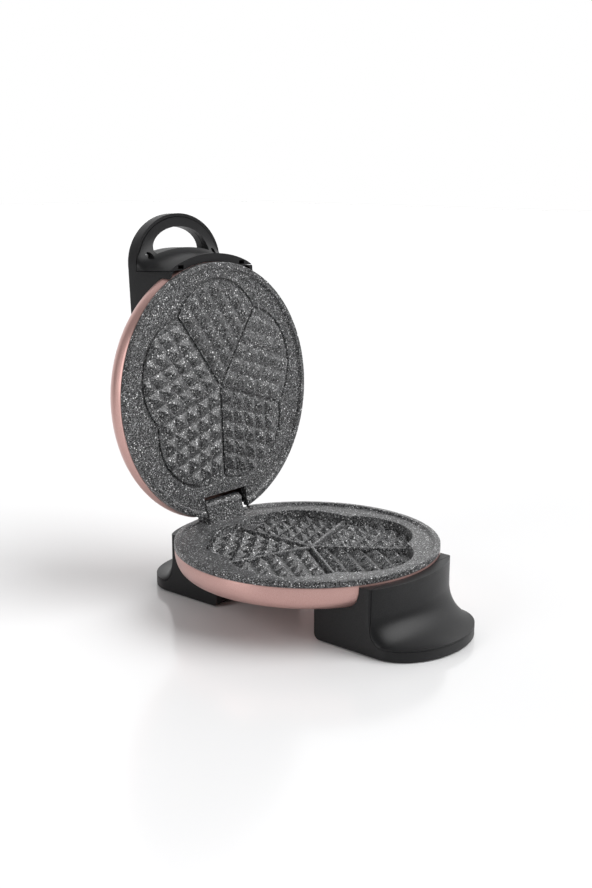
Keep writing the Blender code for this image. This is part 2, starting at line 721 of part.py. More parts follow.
def inner_space(spare):
    """The space for the inner cover: all in front of the seam, and a recess in the grip inside its rim."""
    far, level = PLATE_RADIUS * 2, HANDLE["face"] + GAP / 2 - spare
    made = box("space", (-far, -far, -far), (far, -HANDLE_SEAM - spare, level))
    top = HANDLE["face"] + HANDLE_INLAY + GAP - spare
    return join(made, prism("recess", face_outline(HANDLE_RIM + spare, spare), level - HANDLE_INLAY, top))


def handle_outer_cover(look, parent):
    """The cover that shows when the lid is shut, hollow behind the inner cover."""
    made = flare("handle_outer_cover", HANDLE, FRONT, UP)
    carve(made, upper_clearance(), inner_space(0))
    top = HANDLE["end"] - PLASTIC_WALL
    hollow = flare("hollow", HANDLE, FRONT, UP, PLASTIC_WALL, -PLASTIC_WALL, top)
    carve(hollow, grip(GRIP_WALL, 0, HANDLE["end"] * 2))
    carve(made, hollow, grip(0, 0, HANDLE["end"] * 2))
    for side in (-1, 1):
        place = (side * HANDLE_SCREW_X, -HANDLE_SCREW_Y)
        base = HANDLE["face"] + HANDLE_INLAY + GAP
        hole = SCREW_SHANK + SCREW_PLAY
        boss = post("post", place, STACK_BOSS_RADIUS, top + SUNK, base, hole, HANDLE_SCREW_DEPTH)
        ends = [(side * LENS_SPACING, -LENS_Y, z) for z in (top - SUNK, HANDLE["end"] + SUNK)]
        carve(attach(made, boss), rod("window", LENS_RADIUS + GAP, *ends))
    return finish(made, look, parent)


def handle_inner_cover(look, parent):
    """The part that shows when the lid stands open: it hugs the rim and carries the handle's screws."""
    made = trim(flare("handle_inner_cover", HANDLE, FRONT, UP), inner_space(GAP))
    carve(made, upper_clearance())
    inset = HANDLE_RIM + GAP + HANDLE_FLANGE
    hollow = flare("hollow", HANDLE, FRONT, UP, inset, HANDLE_SKIN, HANDLE["end"])
    carve(hollow, grip(GRIP_WALL, 0, HANDLE["end"] * 2))
    carve(made, hollow, grip(0, 0, HANDLE["end"] * 2))
    low, high = SNAP_Z - SNAP_HEIGHT / 2, SNAP_Z + SNAP_HEIGHT / 2
    top = HANDLE["face"] + HANDLE_INLAY
    for side in (-1, 1):
        place = (side * HANDLE_SCREW_X, -HANDLE_SCREW_Y)
        boss = rod("boss", HANDLE_BOSS_RADIUS, (*place, 0), (*place, top))
        attach(made, trim(boss, flare("inside", HANDLE, FRONT, UP, SUNK, SUNK, HANDLE["end"])))
        carve(made, rod("hole", SCREW_SHANK + SCREW_PLAY, (*place, 0), (*place, HANDLE["end"])))
        seat = top - HANDLE_SCREW_SKIN
        carve(made, rod("seat", SCREW_HEAD + SCREW_PLAY, (*place, 0), (*place, seat)))
        xs = [side * SNAP_X - SNAP_WIDTH / 2, side * SNAP_X + SNAP_WIDTH / 2]
        ys = [-HANDLE["wall"] - SNAP_WIDTH, -PLATE_RADIUS + SNAP_WIDTH]
        carve(made, box("snap", (xs[0], ys[0], low), (xs[1], ys[1], high)))
    return finish(made, look, parent)


def lens(name, side, look, parent):
    place = (side * LENS_SPACING, -LENS_Y)
    top = HANDLE["end"]
    made = rod(name, LENS_RADIUS, (*place, top - PLASTIC_WALL), (*place, top + LENS_PROUD))
    return finish(made, look, parent)


# ---------- fasteners, heating and wiring ----------

def screw(name, x, y, head, sign, length, look, parent):
    """A pan-head screw that points along Z by its sign. head is the level under its head."""
    rise = SCREW_HEAD_HEIGHT
    tip, rim, top = head + sign * length, head - sign * rise * SCREW_HEAD_RIM, head - sign * rise
    shank = [(0, tip), (SCREW_SHANK, tip), (SCREW_SHANK, head)]
    profile = shank + [(SCREW_HEAD, head), (SCREW_HEAD, rim), (SCREW_HEAD * SCREW_HEAD_TOP, top), (0, top)]
    return finish(turned(name, profile, SCREW_STEPS, (x, y)), look, parent)


def heater(name, level, look, parent):
    """A tubular element: an open ring, with its two cold ends turned inwards at the rear."""
    inward = HEATER_RING - HEATER_RADIUS * 4
    half = radians(HEATER_OPENING)
    turns = [half + (2 * pi - 2 * half) * i / HEATER_STEPS for i in range(HEATER_STEPS + 1)]
    path = [(HEATER_RING * sin(t), HEATER_RING * cos(t)) for t in turns]
    ends = [(side * inward * sin(half), inward * cos(half)) for side in (1, -1)]
    curve = bpy.data.curves.new(name, "CURVE")
    curve.dimensions = "3D"
    curve.bevel_depth = HEATER_RADIUS
    curve.bevel_resolution = 2
    curve.use_fill_caps = True
    points = [ends[0], *path, ends[1]]
    spline = curve.splines.new("POLY")
    spline.points.add(len(points) - 1)
    for point, (x, y) in zip(spline.points, points):
        point.co = (x, y, level, 1)
    drawn = bpy.data.objects.new(name + "_path", curve)
    bpy.context.collection.objects.link(drawn)
    mesh = bpy.data.meshes.new_from_object(drawn.evaluated_get(bpy.context.evaluated_depsgraph_get()))
    bpy.data.objects.remove(drawn)
    made = bpy.data.objects.new(name, mesh)
    bpy.context.collection.objects.link(made)
    return finish(made, look, parent)


def reflector(name, back, sign, look, parent):
    """A pressed dish behind the element, with a turned-up rim and three screw holes."""
    near = back + sign * STACK_HEIGHT
    far = near + sign * REFLECTOR_WALL
    lip = near - sign * REFLECTOR_RIM
    out, wall = REFLECTOR_RADIUS, REFLECTOR_WALL
    profile = [(0, far), (out - wall, far), (out, lip), (out - wall, lip), (out - 2 * wall, near), (0, near)]
    made = turned(name, profile)
    for place in stack_bosses():
        ends = [(*place, near - sign * wall), (*place, far + sign * wall)]
        cut(made, rod("hole", SCREW_SHANK + SCREW_PLAY, *ends))
    return finish(made, look, parent)


def heating(prefix, back, sign, metal, dark, steel, parent):
    heater(f"{prefix}_heating_element", back + sign * (HEATER_RADIUS + GAP), dark, parent)
    reflector(f"{prefix}_reflector", back, sign, metal, parent)
    head = back + sign * (STACK_HEIGHT + REFLECTOR_WALL + GAP)
    for number, place in enumerate(stack_bosses(), 1):
        name = f"{prefix}_reflector_screw_{number}"
        screw(name, *place, head, -sign, SMALL_SCREW_LENGTH, steel, parent)


def wiring(white, metal, dark, parent):
    """Thermostat, thermal fuse and terminal block behind the lower plate."""
    top = LOWER_BACK - GAP
    made = rod("thermostat", THERMOSTAT_RADIUS, (0, 0, top - THERMOSTAT_HEIGHT), (0, 0, top))
    finish(made, metal, parent)
    wide, deep, tall = BLOCK_SIZE
    corner = (wide / 2, BLOCK_Y + deep / 2, top)
    block = box("terminal_block", (-wide / 2, BLOCK_Y - deep / 2, top - tall), corner)
    finish(block, white, parent)
    ends = [(side * FUSE_LENGTH / 2, FUSE_Y, top - FUSE_RADIUS - GAP) for side in (-1, 1)]
    finish(rod("thermal_fuse", FUSE_RADIUS, *ends, "X"), dark, parent)


def cord_gland(look, parent):
    """The bush that the mains lead passes through, with its flange outside the rear cover."""
    start = PLATE_RADIUS - SHELL_WALL * 4
    seat = FOOT["wall"] + GAP
    made = rod("cord_gland", GLAND_RADIUS, (0, start, -GLAND_DROP), (0, seat + SUNK, -GLAND_DROP), "Y")
    ends = [(0, y, -GLAND_DROP) for y in (seat, seat + GLAND_FLANGE_WIDTH)]
    join(made, rod("flange", GLAND_FLANGE, *ends, "Y"))
    far = seat + GLAND_FLANGE
    cut(made, rod("bore", GLAND_BORE, (0, start - SUNK, -GLAND_DROP), (0, far, -GLAND_DROP), "Y"))
    return finish(made, look, parent)


def hinge_pin(look, parent):
    made = rod("hinge_pin", PIN_RADIUS, (-PIN_HALF, HINGE_Y, HINGE_Z), (PIN_HALF, HINGE_Y, HINGE_Z), "X")
    return finish(made, look, parent)


# ---------- the whole ----------

def empties():
    """The two frames that everything hangs from, set so that the whole is centred over its base."""
    behind = HANDLE["end"] + LENS_PROUD - HINGE_Z
    ahead = HANDLE["centre"] + HANDLE["depth"] + HINGE_Y
    back = HINGE_Y - ahead * cos(OPEN_ANGLE) + behind * sin(OPEN_ANGLE)
    front = FOOT["centre"] + FOOT["depth"]
    body = bpy.data.objects.new("body_frame", None)
    body.location = (0, (front - back) / 2, FLOOR_DROP)
    lid = bpy.data.objects.new("lid_pivot", None)
    lid.parent = body
    lid.location = (0, HINGE_Y, HINGE_Z)
    lid.rotation_euler.x = -OPEN_ANGLE
    for empty in (body, lid):
        bpy.context.collection.objects.link(empty)
    return body, lid


def main():
    for old in list(bpy.data.objects):
        bpy.data.objects.remove(old)
    granite = material("granite_coating", (0.12, 0.125, 0.135), 0.5)
    rose = material("rose_gold_paint", (0.55, 0.30, 0.26), 0.35, 0.6)
    black = material("black_plastic", (0.03, 0.03, 0.032), 0.5)
    rubber = material("rubber", (0.02, 0.02, 0.02), 0.8)
    steel = material("steel", (0.6, 0.6, 0.62), 0.3, 1.0)
    tin = material("aluminised_steel", (0.75, 0.75, 0.76), 0.35, 1.0)
    dark = material("element_sheath", (0.22, 0.21, 0.2), 0.5, 0.8)
    ceramic = material("ceramic", (0.85, 0.83, 0.78), 0.5)
    red = material("red_lens", (0.6, 0.03, 0.02), 0.2)
    green = material("green_lens", (0.03, 0.45, 0.08), 0.2)
    body, lid = empties()

    lower_plate(granite, body)
    lower_shell(rose, body)
    heating("lower", LOWER_BACK, DOWN, tin, dark, steel, body)
    wiring(ceramic, tin, dark, body)
    cord_gland(black, body)
    hinge_pin(steel, body)
    for word, end in (("front", FRONT), ("rear", REAR)):
        foot_frame(f"{word}_foot_frame", end, black, body)
        foot_cover(f"{word}_foot_cover", end, black, body)
        for hand, side in (("left", -1), ("right", 1)):
            rubber_pad(f"{word}_{hand}_rubber_pad", side * PAD_X, end * PAD_Y, rubber, body)
            place = (side * FOOT_SCREW_X, end * FOOT_SCREW_Y, -CEILING_DEPTH - GAP)
            screw(f"{word}_{hand}_foot_screw", *place, UP, FOOT_SCREW_LENGTH, steel, body)

    upper_plate(granite, lid)
    upper_shell(rose, lid)
    heating("upper", UPPER_BACK, UP, tin, dark, steel, lid)
    handle_outer_cover(black, lid)
    handle_inner_cover(black, lid)
    for hand, side in (("left", -1), ("right", 1)):
        head = HANDLE["face"] + HANDLE_INLAY - HANDLE_SCREW_SKIN - GAP
        place = (side * HANDLE_SCREW_X, -HANDLE_SCREW_Y, head)
        screw(f"handle_{hand}_screw", *place, UP, HANDLE_SCREW_LENGTH, steel, lid)
    lens("power_lens", -1, red, lid)
    lens("ready_lens", 1, green, lid)


main()
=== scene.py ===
"""Looks of the heart waffle maker: fine pieces, materials, floor, light and camera.

Pieces are drawn in millimetres about the centre of the lower plate, with z = 0 on its lip and the
front at -Y, and then set in place. The lid's pieces are drawn shut, and their placing turns them open.
"""

import json
from math import asin, atan2, cos, hypot, pi, radians, sin, sqrt

import bmesh
import bpy
from mathutils import Matrix, Vector


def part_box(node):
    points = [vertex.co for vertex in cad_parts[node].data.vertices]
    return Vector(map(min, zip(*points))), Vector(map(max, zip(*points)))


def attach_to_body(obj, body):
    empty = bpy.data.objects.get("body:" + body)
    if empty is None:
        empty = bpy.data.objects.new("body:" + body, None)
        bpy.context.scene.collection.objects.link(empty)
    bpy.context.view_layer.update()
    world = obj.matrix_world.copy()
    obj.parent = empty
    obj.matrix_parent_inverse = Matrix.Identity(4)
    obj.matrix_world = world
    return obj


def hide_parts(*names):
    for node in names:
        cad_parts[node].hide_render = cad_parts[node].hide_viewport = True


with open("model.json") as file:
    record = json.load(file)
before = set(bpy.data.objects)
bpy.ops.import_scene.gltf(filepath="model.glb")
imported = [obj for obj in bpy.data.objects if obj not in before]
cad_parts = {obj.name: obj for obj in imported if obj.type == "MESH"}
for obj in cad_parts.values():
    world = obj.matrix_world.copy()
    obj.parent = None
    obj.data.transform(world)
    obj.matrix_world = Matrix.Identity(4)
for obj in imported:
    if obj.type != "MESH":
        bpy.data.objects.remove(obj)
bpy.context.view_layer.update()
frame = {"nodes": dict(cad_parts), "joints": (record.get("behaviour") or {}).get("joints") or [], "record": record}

# ---------- sizes, in millimetres ----------

UNIT = 0.001
GAP = 0.3  # between pieces
WELD = 0.002  # points closer than this become one
SUNK = 0.5  # how far pieces that join reach into each other
EDGE = 0.8  # radius of the rounded edges
SHARP = 32  # degrees between faces from which an edge shows

hinge = frame["joints"][0]
plate_low, plate_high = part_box("lower_plate")
PLATE_RADIUS = (plate_high.x - plate_low.x) / 2 / UNIT
HINGE_Y = (hinge["pos_m"][1] - (plate_low.y + plate_high.y) / 2) / UNIT
HINGE_Z = 10.35
OPEN_ANGLE = radians(hinge["range_deg"][1])
TO_HINGE = Matrix.Translation((0, -HINGE_Y, -HINGE_Z))
AT_HINGE = Matrix.Translation(hinge["pos_m"])
BASE = AT_HINGE @ Matrix.Scale(UNIT, 4) @ TO_HINGE
LID = AT_HINGE @ Matrix.Rotation(-OPEN_ANGLE, 4, "X") @ Matrix.Scale(UNIT, 4) @ TO_HINGE
FRONT, REAR = -1, 1
UP, DOWN = 1, -1

# Plates
LIP_WIDTH, LIP_HEIGHT, LIP_SLOPE = 4.6, 2, 0.8
LOWER_EDGE, UPPER_EDGE = 4.8, 5.8
LID_GAP = 1
SKIRT_INSET, SKIRT_DEPTH = 3, 2
BELLY_INSET, BELLY_SLOPE, BELLY_DEPTH = 12, 3, 4  # the bowl under the lower plate's recess
UPPER_DEPTH = 6  # from the upper plate's face to its back
RECESS_DEPTH = 8.5
WALL_DRAFT, UPPER_DRAFT = 1.4, 0.2
FILLET = 1.0

# Heart pattern
PETALS = 5
HALF_PETAL = pi / PETALS
FLOWER_SHIFT = 4.2
CUSP_RADIUS, PETAL_REACH = 75, 87
CUSP_ALONG, CUSP_ACROSS = CUSP_RADIUS * cos(HALF_PETAL), CUSP_RADIUS * sin(HALF_PETAL)
PETAL_RADIUS = ((PETAL_REACH - CUSP_ALONG) ** 2 + CUSP_ACROSS**2) / (2 * (PETAL_REACH - CUSP_ALONG))
PETAL_CENTRE = PETAL_REACH - PETAL_RADIUS
DIVIDER_WIDTH, DIVIDER_HEIGHT, DIVIDER_ROUND, DIVIDER_DRAFT = 3, 4.5, 1.1, 0.35
GROOVE_WIDTH, GROOVE_DEPTH, FIELD_ROUND = 2.2, 1.5, 0.35
STUD_PITCH, STUD_SPACE, STUD_START, STUD_EDGE = 13.4, 1.4, 1.5, 2.2
LOWER_STUD, UPPER_STUD = 5, 3.5
STUDS_A_SIDE = 6
STUD_LEVELS = ((1, 0), (0.93, 0.09), (0.5, 0.52), (0.17, 0.85), (0.1, 0.93), (0.045, 0.975))
STUD_SOFT, STUD_MELT, STUD_BOW, STUD_BLUNT = 0.05, 0.3, 0.45, 0.3
TRIM_SPARE = 4
LOOP_STEPS, PETAL_STEPS = 360, 36

# Shells, as (share of the plate radius, share of the depth) from the edge to the middle
SHELL_WALL = 1.3
LOWER_SHELL = {
    "depth": 31.2,
    "form": (
        (0.998, 0.163), (0.993, 0.385), (0.971, 0.593), (0.924, 0.737),
        (0.838, 0.827), (0.667, 0.917), (0.381, 0.981), (0, 1),
    ),
}
UPPER_SHELL = {
    "depth": 42,
    "form": (
        (1.003, 0.169), (1.01, 0.333), (0.986, 0.476), (0.933, 0.607),
        (0.838, 0.738), (0.667, 0.869), (0.381, 0.964), (0, 1),
    ),
}
SHELL_GAP = 0.4
SHELL_ROUND, SHELL_LIFT = 0.2, 0.15  # what the soft rim takes off
CURVE_STEPS = 6
TURN_STEPS = 180

# Hinge
TONGUE_HALF, TONGUE_FOOT, KNUCKLE_RADIUS, TONGUE_ROUND = 21, 10.5, 5.5, 0.6
RELIEF_HALF, RELIEF_DEPTH, RELIEF_START = 36, 1.2, 2
NOTCH_HALF, NOTCH_DEPTH = 25, 10.5
CHEEK_RADIUS, CHEEK_LENGTH, CHEEK_SPACE = 4.8, 6, 1
PIN_RADIUS, PIN_HALF, PIN_PLAY = 2.3, 30.5, 0.3
PIN_ROUND = 0.5

# Feet and handle: a wall round the plate, which flares out from the depth "flare" to the flat "face"
FOOT = {
    "half": 52, "inner": 50, "wall": 114, "shoulder": 96, "centre": 108,
    "depth": 36.5, "start": 6, "flare": 26, "face": 47, "end": 56.2, "power": 2.0,
}
HANDLE = {
    "half": 48, "inner": 64, "wall": 112, "shoulder": 94, "centre": 105,
    "depth": 39.6, "start": 5.6, "flare": 18, "face": 43, "end": 53, "power": 3.0,
}
FLOOR_DROP = 57
FOOT_SEAM, FOOT_SEAM_DEPTH, SEAM_ROUND, SEAM_TOP = 101, 48.5, 12, 10
FOOT_CORNER = 5.5
CORNER_POWER = 10  # how square the wall's ends are
PLASTIC_WALL = 3
CEILING_DEPTH = 34
PAD_RADIUS, PAD_X, PAD_Y, PAD_SUNK, PAD_ROUND = 8, 36, 114, 2.5, 0.6
FOOT_SCREW_X, FOOT_SCREW_Y, FOOT_SCREW_LENGTH = 25, 76, 17
HANDLE_SEAM, HANDLE_INLAY, HANDLE_SKIN, HANDLE_RIM = 100, 3, 2, 2.5
HANDLE_FLANGE, HANDLE_CORNER = 2.2, 9
GRIP_HALF, GRIP_CENTRE, GRIP_DEPTH, GRIP_NEAR, GRIP_WALL = 31, 115, 19, 117, 3
GRIP_NARROW = 0.96
HANDLE_SCREW_X, HANDLE_SCREW_Y = 36.6, 112
HANDLE_SCREW_SKIN, HANDLE_SCREW_LENGTH, HANDLE_SCREW_DEPTH = 1.6, 5.5, 4.5
HANDLE_BOSS_RADIUS = 4.6
POST_RADIUS, POST_RING, LOWER_POST, UPPER_POST = 4, 44, 9, 9
SNAP_X, SNAP_WIDTH, SNAP_HEIGHT, SNAP_Z, SNAP_DEPTH, SNAP_LIP = 35, 6, 3, 11, 3, 1.9
SEAM_SHADOW = 0.5  # the gap that shows between the handle's two covers
LENS_RADIUS, LENS_SPACING, LENS_Y, LENS_PROUD, LENS_SIDE = 3, 9, 84, 0.8, 0.1
GLAND_RADIUS, GLAND_BORE, GLAND_FLANGE, GLAND_DROP = 5, 3.6, 7.5, 15
GLAND_FLANGE_WIDTH, GLAND_ROUND = 2.5, 0.7
SCREW_SHANK, SCREW_PLAY, SCREW_POINT, SCREW_TIP = 1.7, 0.4, 1, 0.5
SCREW_HEAD, SCREW_HEIGHT = 3.3, 2.2
SMALL_HEAD, SMALL_HEIGHT = 2.5, 1.6
HEAD_SIDE, HEAD_BULGE = 0.35, 0.6
CROSS_REACH, CROSS_WIDTH, CROSS_DEPTH = 0.58, 0.11, 0.4  # shares of the screw's head
FRONT_STEPS, FLARE_STEPS, ROUND_STEPS, BEND_STEPS, ROD_STEPS = 64, 28, 4, 12, 48
HEAD_STEPS, LENS_STEPS = 6, 8

# Floor, light and camera, in metres
FLOOR_HALF, FLOOR_COLOUR, FLOOR_ROUGHNESS = 8, (0.88, 0.88, 0.885), 0.16
SOFTBOX = {"strength": 3.0, "spread": 55, "direction": (-0.34, 0.62, -0.7)}
SIDE_LAMP = {"spot": (-1.5, 0.5, 0.7), "aim": (0, 0, 0.12), "size": (0.6, 1.2), "power": 8}
BACKDROP = (0.764, 0.645, 0)  # where the bright side of the room is
BACKDROP_START, BACKDROP_END = 0.1, 0.7
ROOM_LIGHT, BACKDROP_LIGHT = 0.16, 1.1
CAMERA_LENS, CAMERA_NEAR = 48.39, 0.05
CAMERA_RIGHT = (0.64588, -0.76343, 0.00444)
CAMERA_UP = (0.17057, 0.14997, 0.97387)
CAMERA_AHEAD = (0.74414, 0.62824, -0.22708)
CAMERA_FROM_HINGE = (-0.69686, -0.67172, 0.27630)


# ---------- mesh tools ----------

def quarter_turns(steps):
    return [pi / 2 * i / steps for i in range(steps + 1)]


def quarter(radius, steps=ROUND_STEPS):
    """(across, down) along a quarter circle, from flat to upright."""
    return [(radius * sin(t), radius * (1 - cos(t))) for t in quarter_turns(steps)]


def new_object(name, verts, faces):
    mesh = bpy.data.meshes.new(name)
    made = bmesh.new()
    points = [made.verts.new(v) for v in verts]
    for face in faces:
        made.faces.new([points[i] for i in face])
    bmesh.ops.recalc_face_normals(made, faces=made.faces)
    made.to_mesh(mesh)
    made.free()
    obj = bpy.data.objects.new(name, mesh)
    bpy.context.scene.collection.objects.link(obj)
    return obj


def loft_parts(rings, start=0, closed=False):
    """The points and faces that join rings of equally many points."""
    count = len(rings[0])
    verts = [point for ring in rings for point in ring]
    faces = []
    if not closed:
        last = (len(rings) - 1) * count
        faces = [tuple(first + i for i in range(count)) for first in (start, start + last)]
    for level in range(len(rings) if closed else len(rings) - 1):
        low, high = start + level * count, start + (level + 1) % len(rings) * count
        for i in range(count):
            faces.append((low + i, low + (i + 1) % count, high + (i + 1) % count, high + i))
    return verts, faces


def loft(name, rings, closed=False):
    return new_object(name, *loft_parts(rings, 0, closed))


def prism(name, outline, low, high):
    return loft(name, [[(x, y, z) for x, y in outline] for z in (low, high)])


def side_prism(name, outline, half):
    return loft(name, [[(x, y, z) for y, z in outline] for x in (-half, half)])


def box(name, low, high):
    outline = [(low[0], low[1]), (high[0], low[1]), (high[0], high[1]), (low[0], high[1])]
    return prism(name, outline, low[2], high[2])


def circle(radius, steps=ROD_STEPS, centre=(0, 0)):
    turns = [2 * pi * i / steps for i in range(steps)]
    return [(centre[0] + radius * cos(t), centre[1] + radius * sin(t)) for t in turns]


def on_axis(axis, centre, a, b):
    """A point beside a centre, with a and b across the axis."""
    x, y, z = centre
    return {"X": (x, y + a, z + b), "Y": (x + a, y, z + b), "Z": (x + a, y + b, z)}[axis]


def rod(name, radius, low, high, axis="Z", rounding=0.0):
    """A cylinder along an axis, between two end centres, with rounded ends if asked."""
    low, high = Vector(low), Vector(high)
    along = (high - low).normalized()
    ends = [(0, radius)]
    if rounding:
        ends = [(down, radius - rounding + across) for across, down in quarter(rounding)]
    places = [(low + along * down, across) for down, across in ends]
    places += [(high - along * down, across) for down, across in reversed(ends)]
    return loft(name, [[on_axis(axis, spot, a, b) for a, b in circle(across)] for spot, across in places])


def turned(name, profile, steps=TURN_STEPS, centre=(0, 0)):
    """Turns (radius, z) points about a vertical axis. A profile off the axis closes on itself."""
    verts, rings, faces = [], [], []
    for radius, z in profile:
        ring = circle(radius, steps, centre) if radius > 0 else [centre]
        rings.append(range(len(verts), len(verts) + len(ring)))
        verts += [(x, y, z) for x, y in ring]
    pairs = list(zip(rings, rings[1:]))
    if profile[0][0] > 0:
        pairs.append((rings[-1], rings[0]))
    for low, high in pairs:
        for i in range(steps):
            near = [ring[i % len(ring)] for ring in (low, high)]
            ahead = [ring[(i + 1) % len(ring)] for ring in (low, high)]
            corners = list(dict.fromkeys((near[0], ahead[0], ahead[1], near[1])))
            if len(corners) > 2:
                faces.append(corners)
    return new_object(name, verts, faces)


def combine(target, tool, operation, solver="EXACT"):
    step = target.modifiers.new(operation.lower(), "BOOLEAN")
    step.operation = operation
    step.solver = solver
    step.object = tool
    graph = bpy.context.evaluated_depsgraph_get()
    mesh = bpy.data.meshes.new_from_object(target.evaluated_get(graph))
    welded = bmesh.new()
    welded.from_mesh(mesh)
    bmesh.ops.remove_doubles(welded, verts=welded.verts, dist=WELD)
    bmesh.ops.dissolve_degenerate(welded, edges=welded.edges, dist=WELD)
    welded.to_mesh(mesh)
    welded.free()
    target.modifiers.clear()
    target.data = mesh
    bpy.data.objects.remove(tool)
    return target


def cut(target, *tools, solver="EXACT"):
    for tool in tools:
        combine(target, tool, "DIFFERENCE", solver)
    return target


def join(target, *tools, solver="EXACT"):
    for tool in tools:
        combine(target, tool, "UNION", solver)
    return target


def keep(target, tool, solver="EXACT"):
    return combine(target, tool, "INTERSECT", solver)


def carve(target, *tools):
    """Cuts one of the plastic mouldings, whose curved walls meet at grazing angles."""
    return cut(target, *tools, solver="MANIFOLD")


def attach(target, *tools):
    return join(target, *tools, solver="MANIFOLD")


def trim(target, tool):
    return keep(target, tool, solver="MANIFOLD")


SLOTS = {part["node"]: part["material_slot"] for part in frame["record"]["subparts"]}
BODIES = {}
for body, nodes in frame["record"]["behaviour"]["bodies"].items():
    BODIES.update({node: body for node in nodes})


def dress(obj, node):
    """Gives a piece the finish of its node."""
    obj.data.materials.clear()
    obj.data.materials.append(looks[SLOTS[node]])
    obj.data.shade_smooth()
    obj.data.set_sharp_from_angle(angle=radians(SHARP))


def place(obj, where, node):
    """Sets a finished piece in the frame, in place of its CAD node."""
    obj.data.transform(where)
    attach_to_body(obj, BODIES[node])
    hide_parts(node)
    dress(obj, node)


# ---------- materials ----------

class Look:
    """A material whose nodes are laid one by one."""

    def __init__(self, name):
        self.material = bpy.data.materials.new(name)
        self.material.use_nodes = True
        self.tree = self.material.node_tree
        self.shader = self.tree.nodes["Principled BSDF"]
        self.place = self.add("ShaderNodeTexCoord").outputs["Object"]

    def add(self, kind, **settings):
        node = self.tree.nodes.new(kind)
        for key, value in settings.items():
            setattr(node, key, value)
        return node

    def put(self, node, socket, value):
        """Links an output to an input, or sets its number."""
        if isinstance(value, bpy.types.NodeSocket):
            self.tree.links.new(value, node.inputs[socket])
        else:
            node.inputs[socket].default_value = value

    def noise(self, scale, detail=2.0, rough=0.5, vector=None):
        node = self.add("ShaderNodeTexNoise")
        self.put(node, "Vector", vector or self.place)
        self.put(node, "Scale", scale)
        self.put(node, "Detail", detail)
        self.put(node, "Roughness", rough)
        return node

    def span(self, value, low, high, to_low=0.0, to_high=1.0):
        node = self.add("ShaderNodeMapRange")
        for socket, number in (("Value", value), ("From Min", low), ("From Max", high),
                               ("To Min", to_low), ("To Max", to_high)):
            self.put(node, socket, number)
        return node.outputs["Result"]

    def maths(self, operation, first, second):
        node = self.add("ShaderNodeMath", operation=operation)
        self.put(node, 0, first)
        self.put(node, 1, second)
        return node.outputs[0]

    def mix(self, share, first, second):
        node = self.add("ShaderNodeMix", data_type="RGBA")
        self.put(node, 0, share)
        self.put(node, 6, first)
        self.put(node, 7, second)
        return node.outputs[2]

    def bump(self, height, strength, distance):
        node = self.add("ShaderNodeBump")
        self.put(node, "Strength", strength)
        self.put(node, "Distance", distance)
        self.put(node, "Height", height)
        self.put(self.shader, "Normal", node.outputs["Normal"])

    def set(self, **values):
        for key, value in values.items():
            self.put(self.shader, key.replace("_", " "), value)


def specks(look, scale, size, share, warp):
    """A mask of scattered flecks: cells of 1/scale, of which a share holds a fleck."""
    cells = look.add("ShaderNodeTexVoronoi")
    look.put(cells, "Vector", warp)
    look.put(cells, "Scale", scale)
    parts = look.add("ShaderNodeSeparateColor")
    look.put(parts, "Color", cells.outputs["Color"])
    chosen = look.span(parts.outputs[0], 1 - share, 1 - share + 0.02)
    reach = look.span(parts.outputs[1], 0, 1, size * 0.45, size)
    fleck = look.span(look.maths("SUBTRACT", cells.outputs["Distance"], reach), 0.0, -0.08)
    return look.maths("MULTIPLY", fleck, chosen)


# (cells in a metre, size, share of cells, colour) of the coating's flecks
FLECKS = (
    (1050, 0.46, 0.42, (0.005, 0.005, 0.0055, 1)),
    (1150, 0.48, 0.50, (0.30, 0.302, 0.306, 1)),
    (900, 0.46, 0.30, (0.66, 0.663, 0.668, 1)),
    (540, 0.36, 0.24, (0.94, 0.945, 0.95, 1)),
)


def granite():
    """Dark stone-look non-stick coating: a fine black and grey mottle, strewn with pale flecks."""
    look = Look("granite_coating")
    shift = look.noise(700, 2, 0.6)
    warp = look.add("ShaderNodeVectorMath", operation="MULTIPLY_ADD")
    look.put(warp, 0, shift.outputs["Color"])
    look.put(warp, 1, (0.0012, 0.0012, 0.0012))
    look.put(warp, 2, look.place)
    warp = warp.outputs[0]
    mottle = look.span(look.noise(760, 3, 0.7).outputs[0], 0.44, 0.60)
    colour = look.mix(mottle, (0.003, 0.0031, 0.0035, 1), (0.14, 0.141, 0.144, 1))
    for scale, size, share, tone in FLECKS:
        colour = look.mix(specks(look, scale, size, share, warp), colour, tone)
    grain = look.noise(1400, 3, 0.6).outputs[0]
    rough = look.span(grain, 0.3, 0.7, 0.30, 0.44)
    look.set(Base_Color=colour, Roughness=rough, Specular_IOR_Level=0.4)
    look.bump(grain, 0.2, 0.0002)
    return look.material


def rose_gold():
    """Satin rose-gold coating on sheet metal, with fine metal flake in it."""
    look = Look("rose_gold")
    wide = look.span(look.noise(25, 3, 0.5).outputs[0], 0.3, 0.7)
    colour = look.mix(wide, (0.50, 0.285, 0.262, 1), (0.55, 0.32, 0.293, 1))
    flake = look.span(look.noise(2600, 2, 0.6).outputs[0], 0.35, 0.65)
    colour = look.mix(flake, colour, (0.62, 0.40, 0.365, 1))
    look.set(Base_Color=colour, Metallic=0.7, Roughness=look.span(flake, 0, 1, 0.30, 0.40))
    look.bump(flake, 0.05, 0.00008)
    return look.material


def black_plastic():
    """Fine spark-eroded texture on a black moulding, a little polished in places."""
    look = Look("black_plastic")
    fine = look.noise(1300, 3, 0.65).outputs[0]
    wide = look.span(look.noise(30, 3, 0.5).outputs[0], 0.3, 0.7)
    pits = look.span(fine, 0.35, 0.6)
    colour = look.mix(pits, (0.005, 0.005, 0.0055, 1), (0.011, 0.011, 0.012, 1))
    rough = look.span(wide, 0, 1, 0.38, 0.46)
    look.set(Base_Color=colour, Roughness=rough, Specular_IOR_Level=0.3)
    look.bump(fine, 0.3, 0.00014)
    return look.material


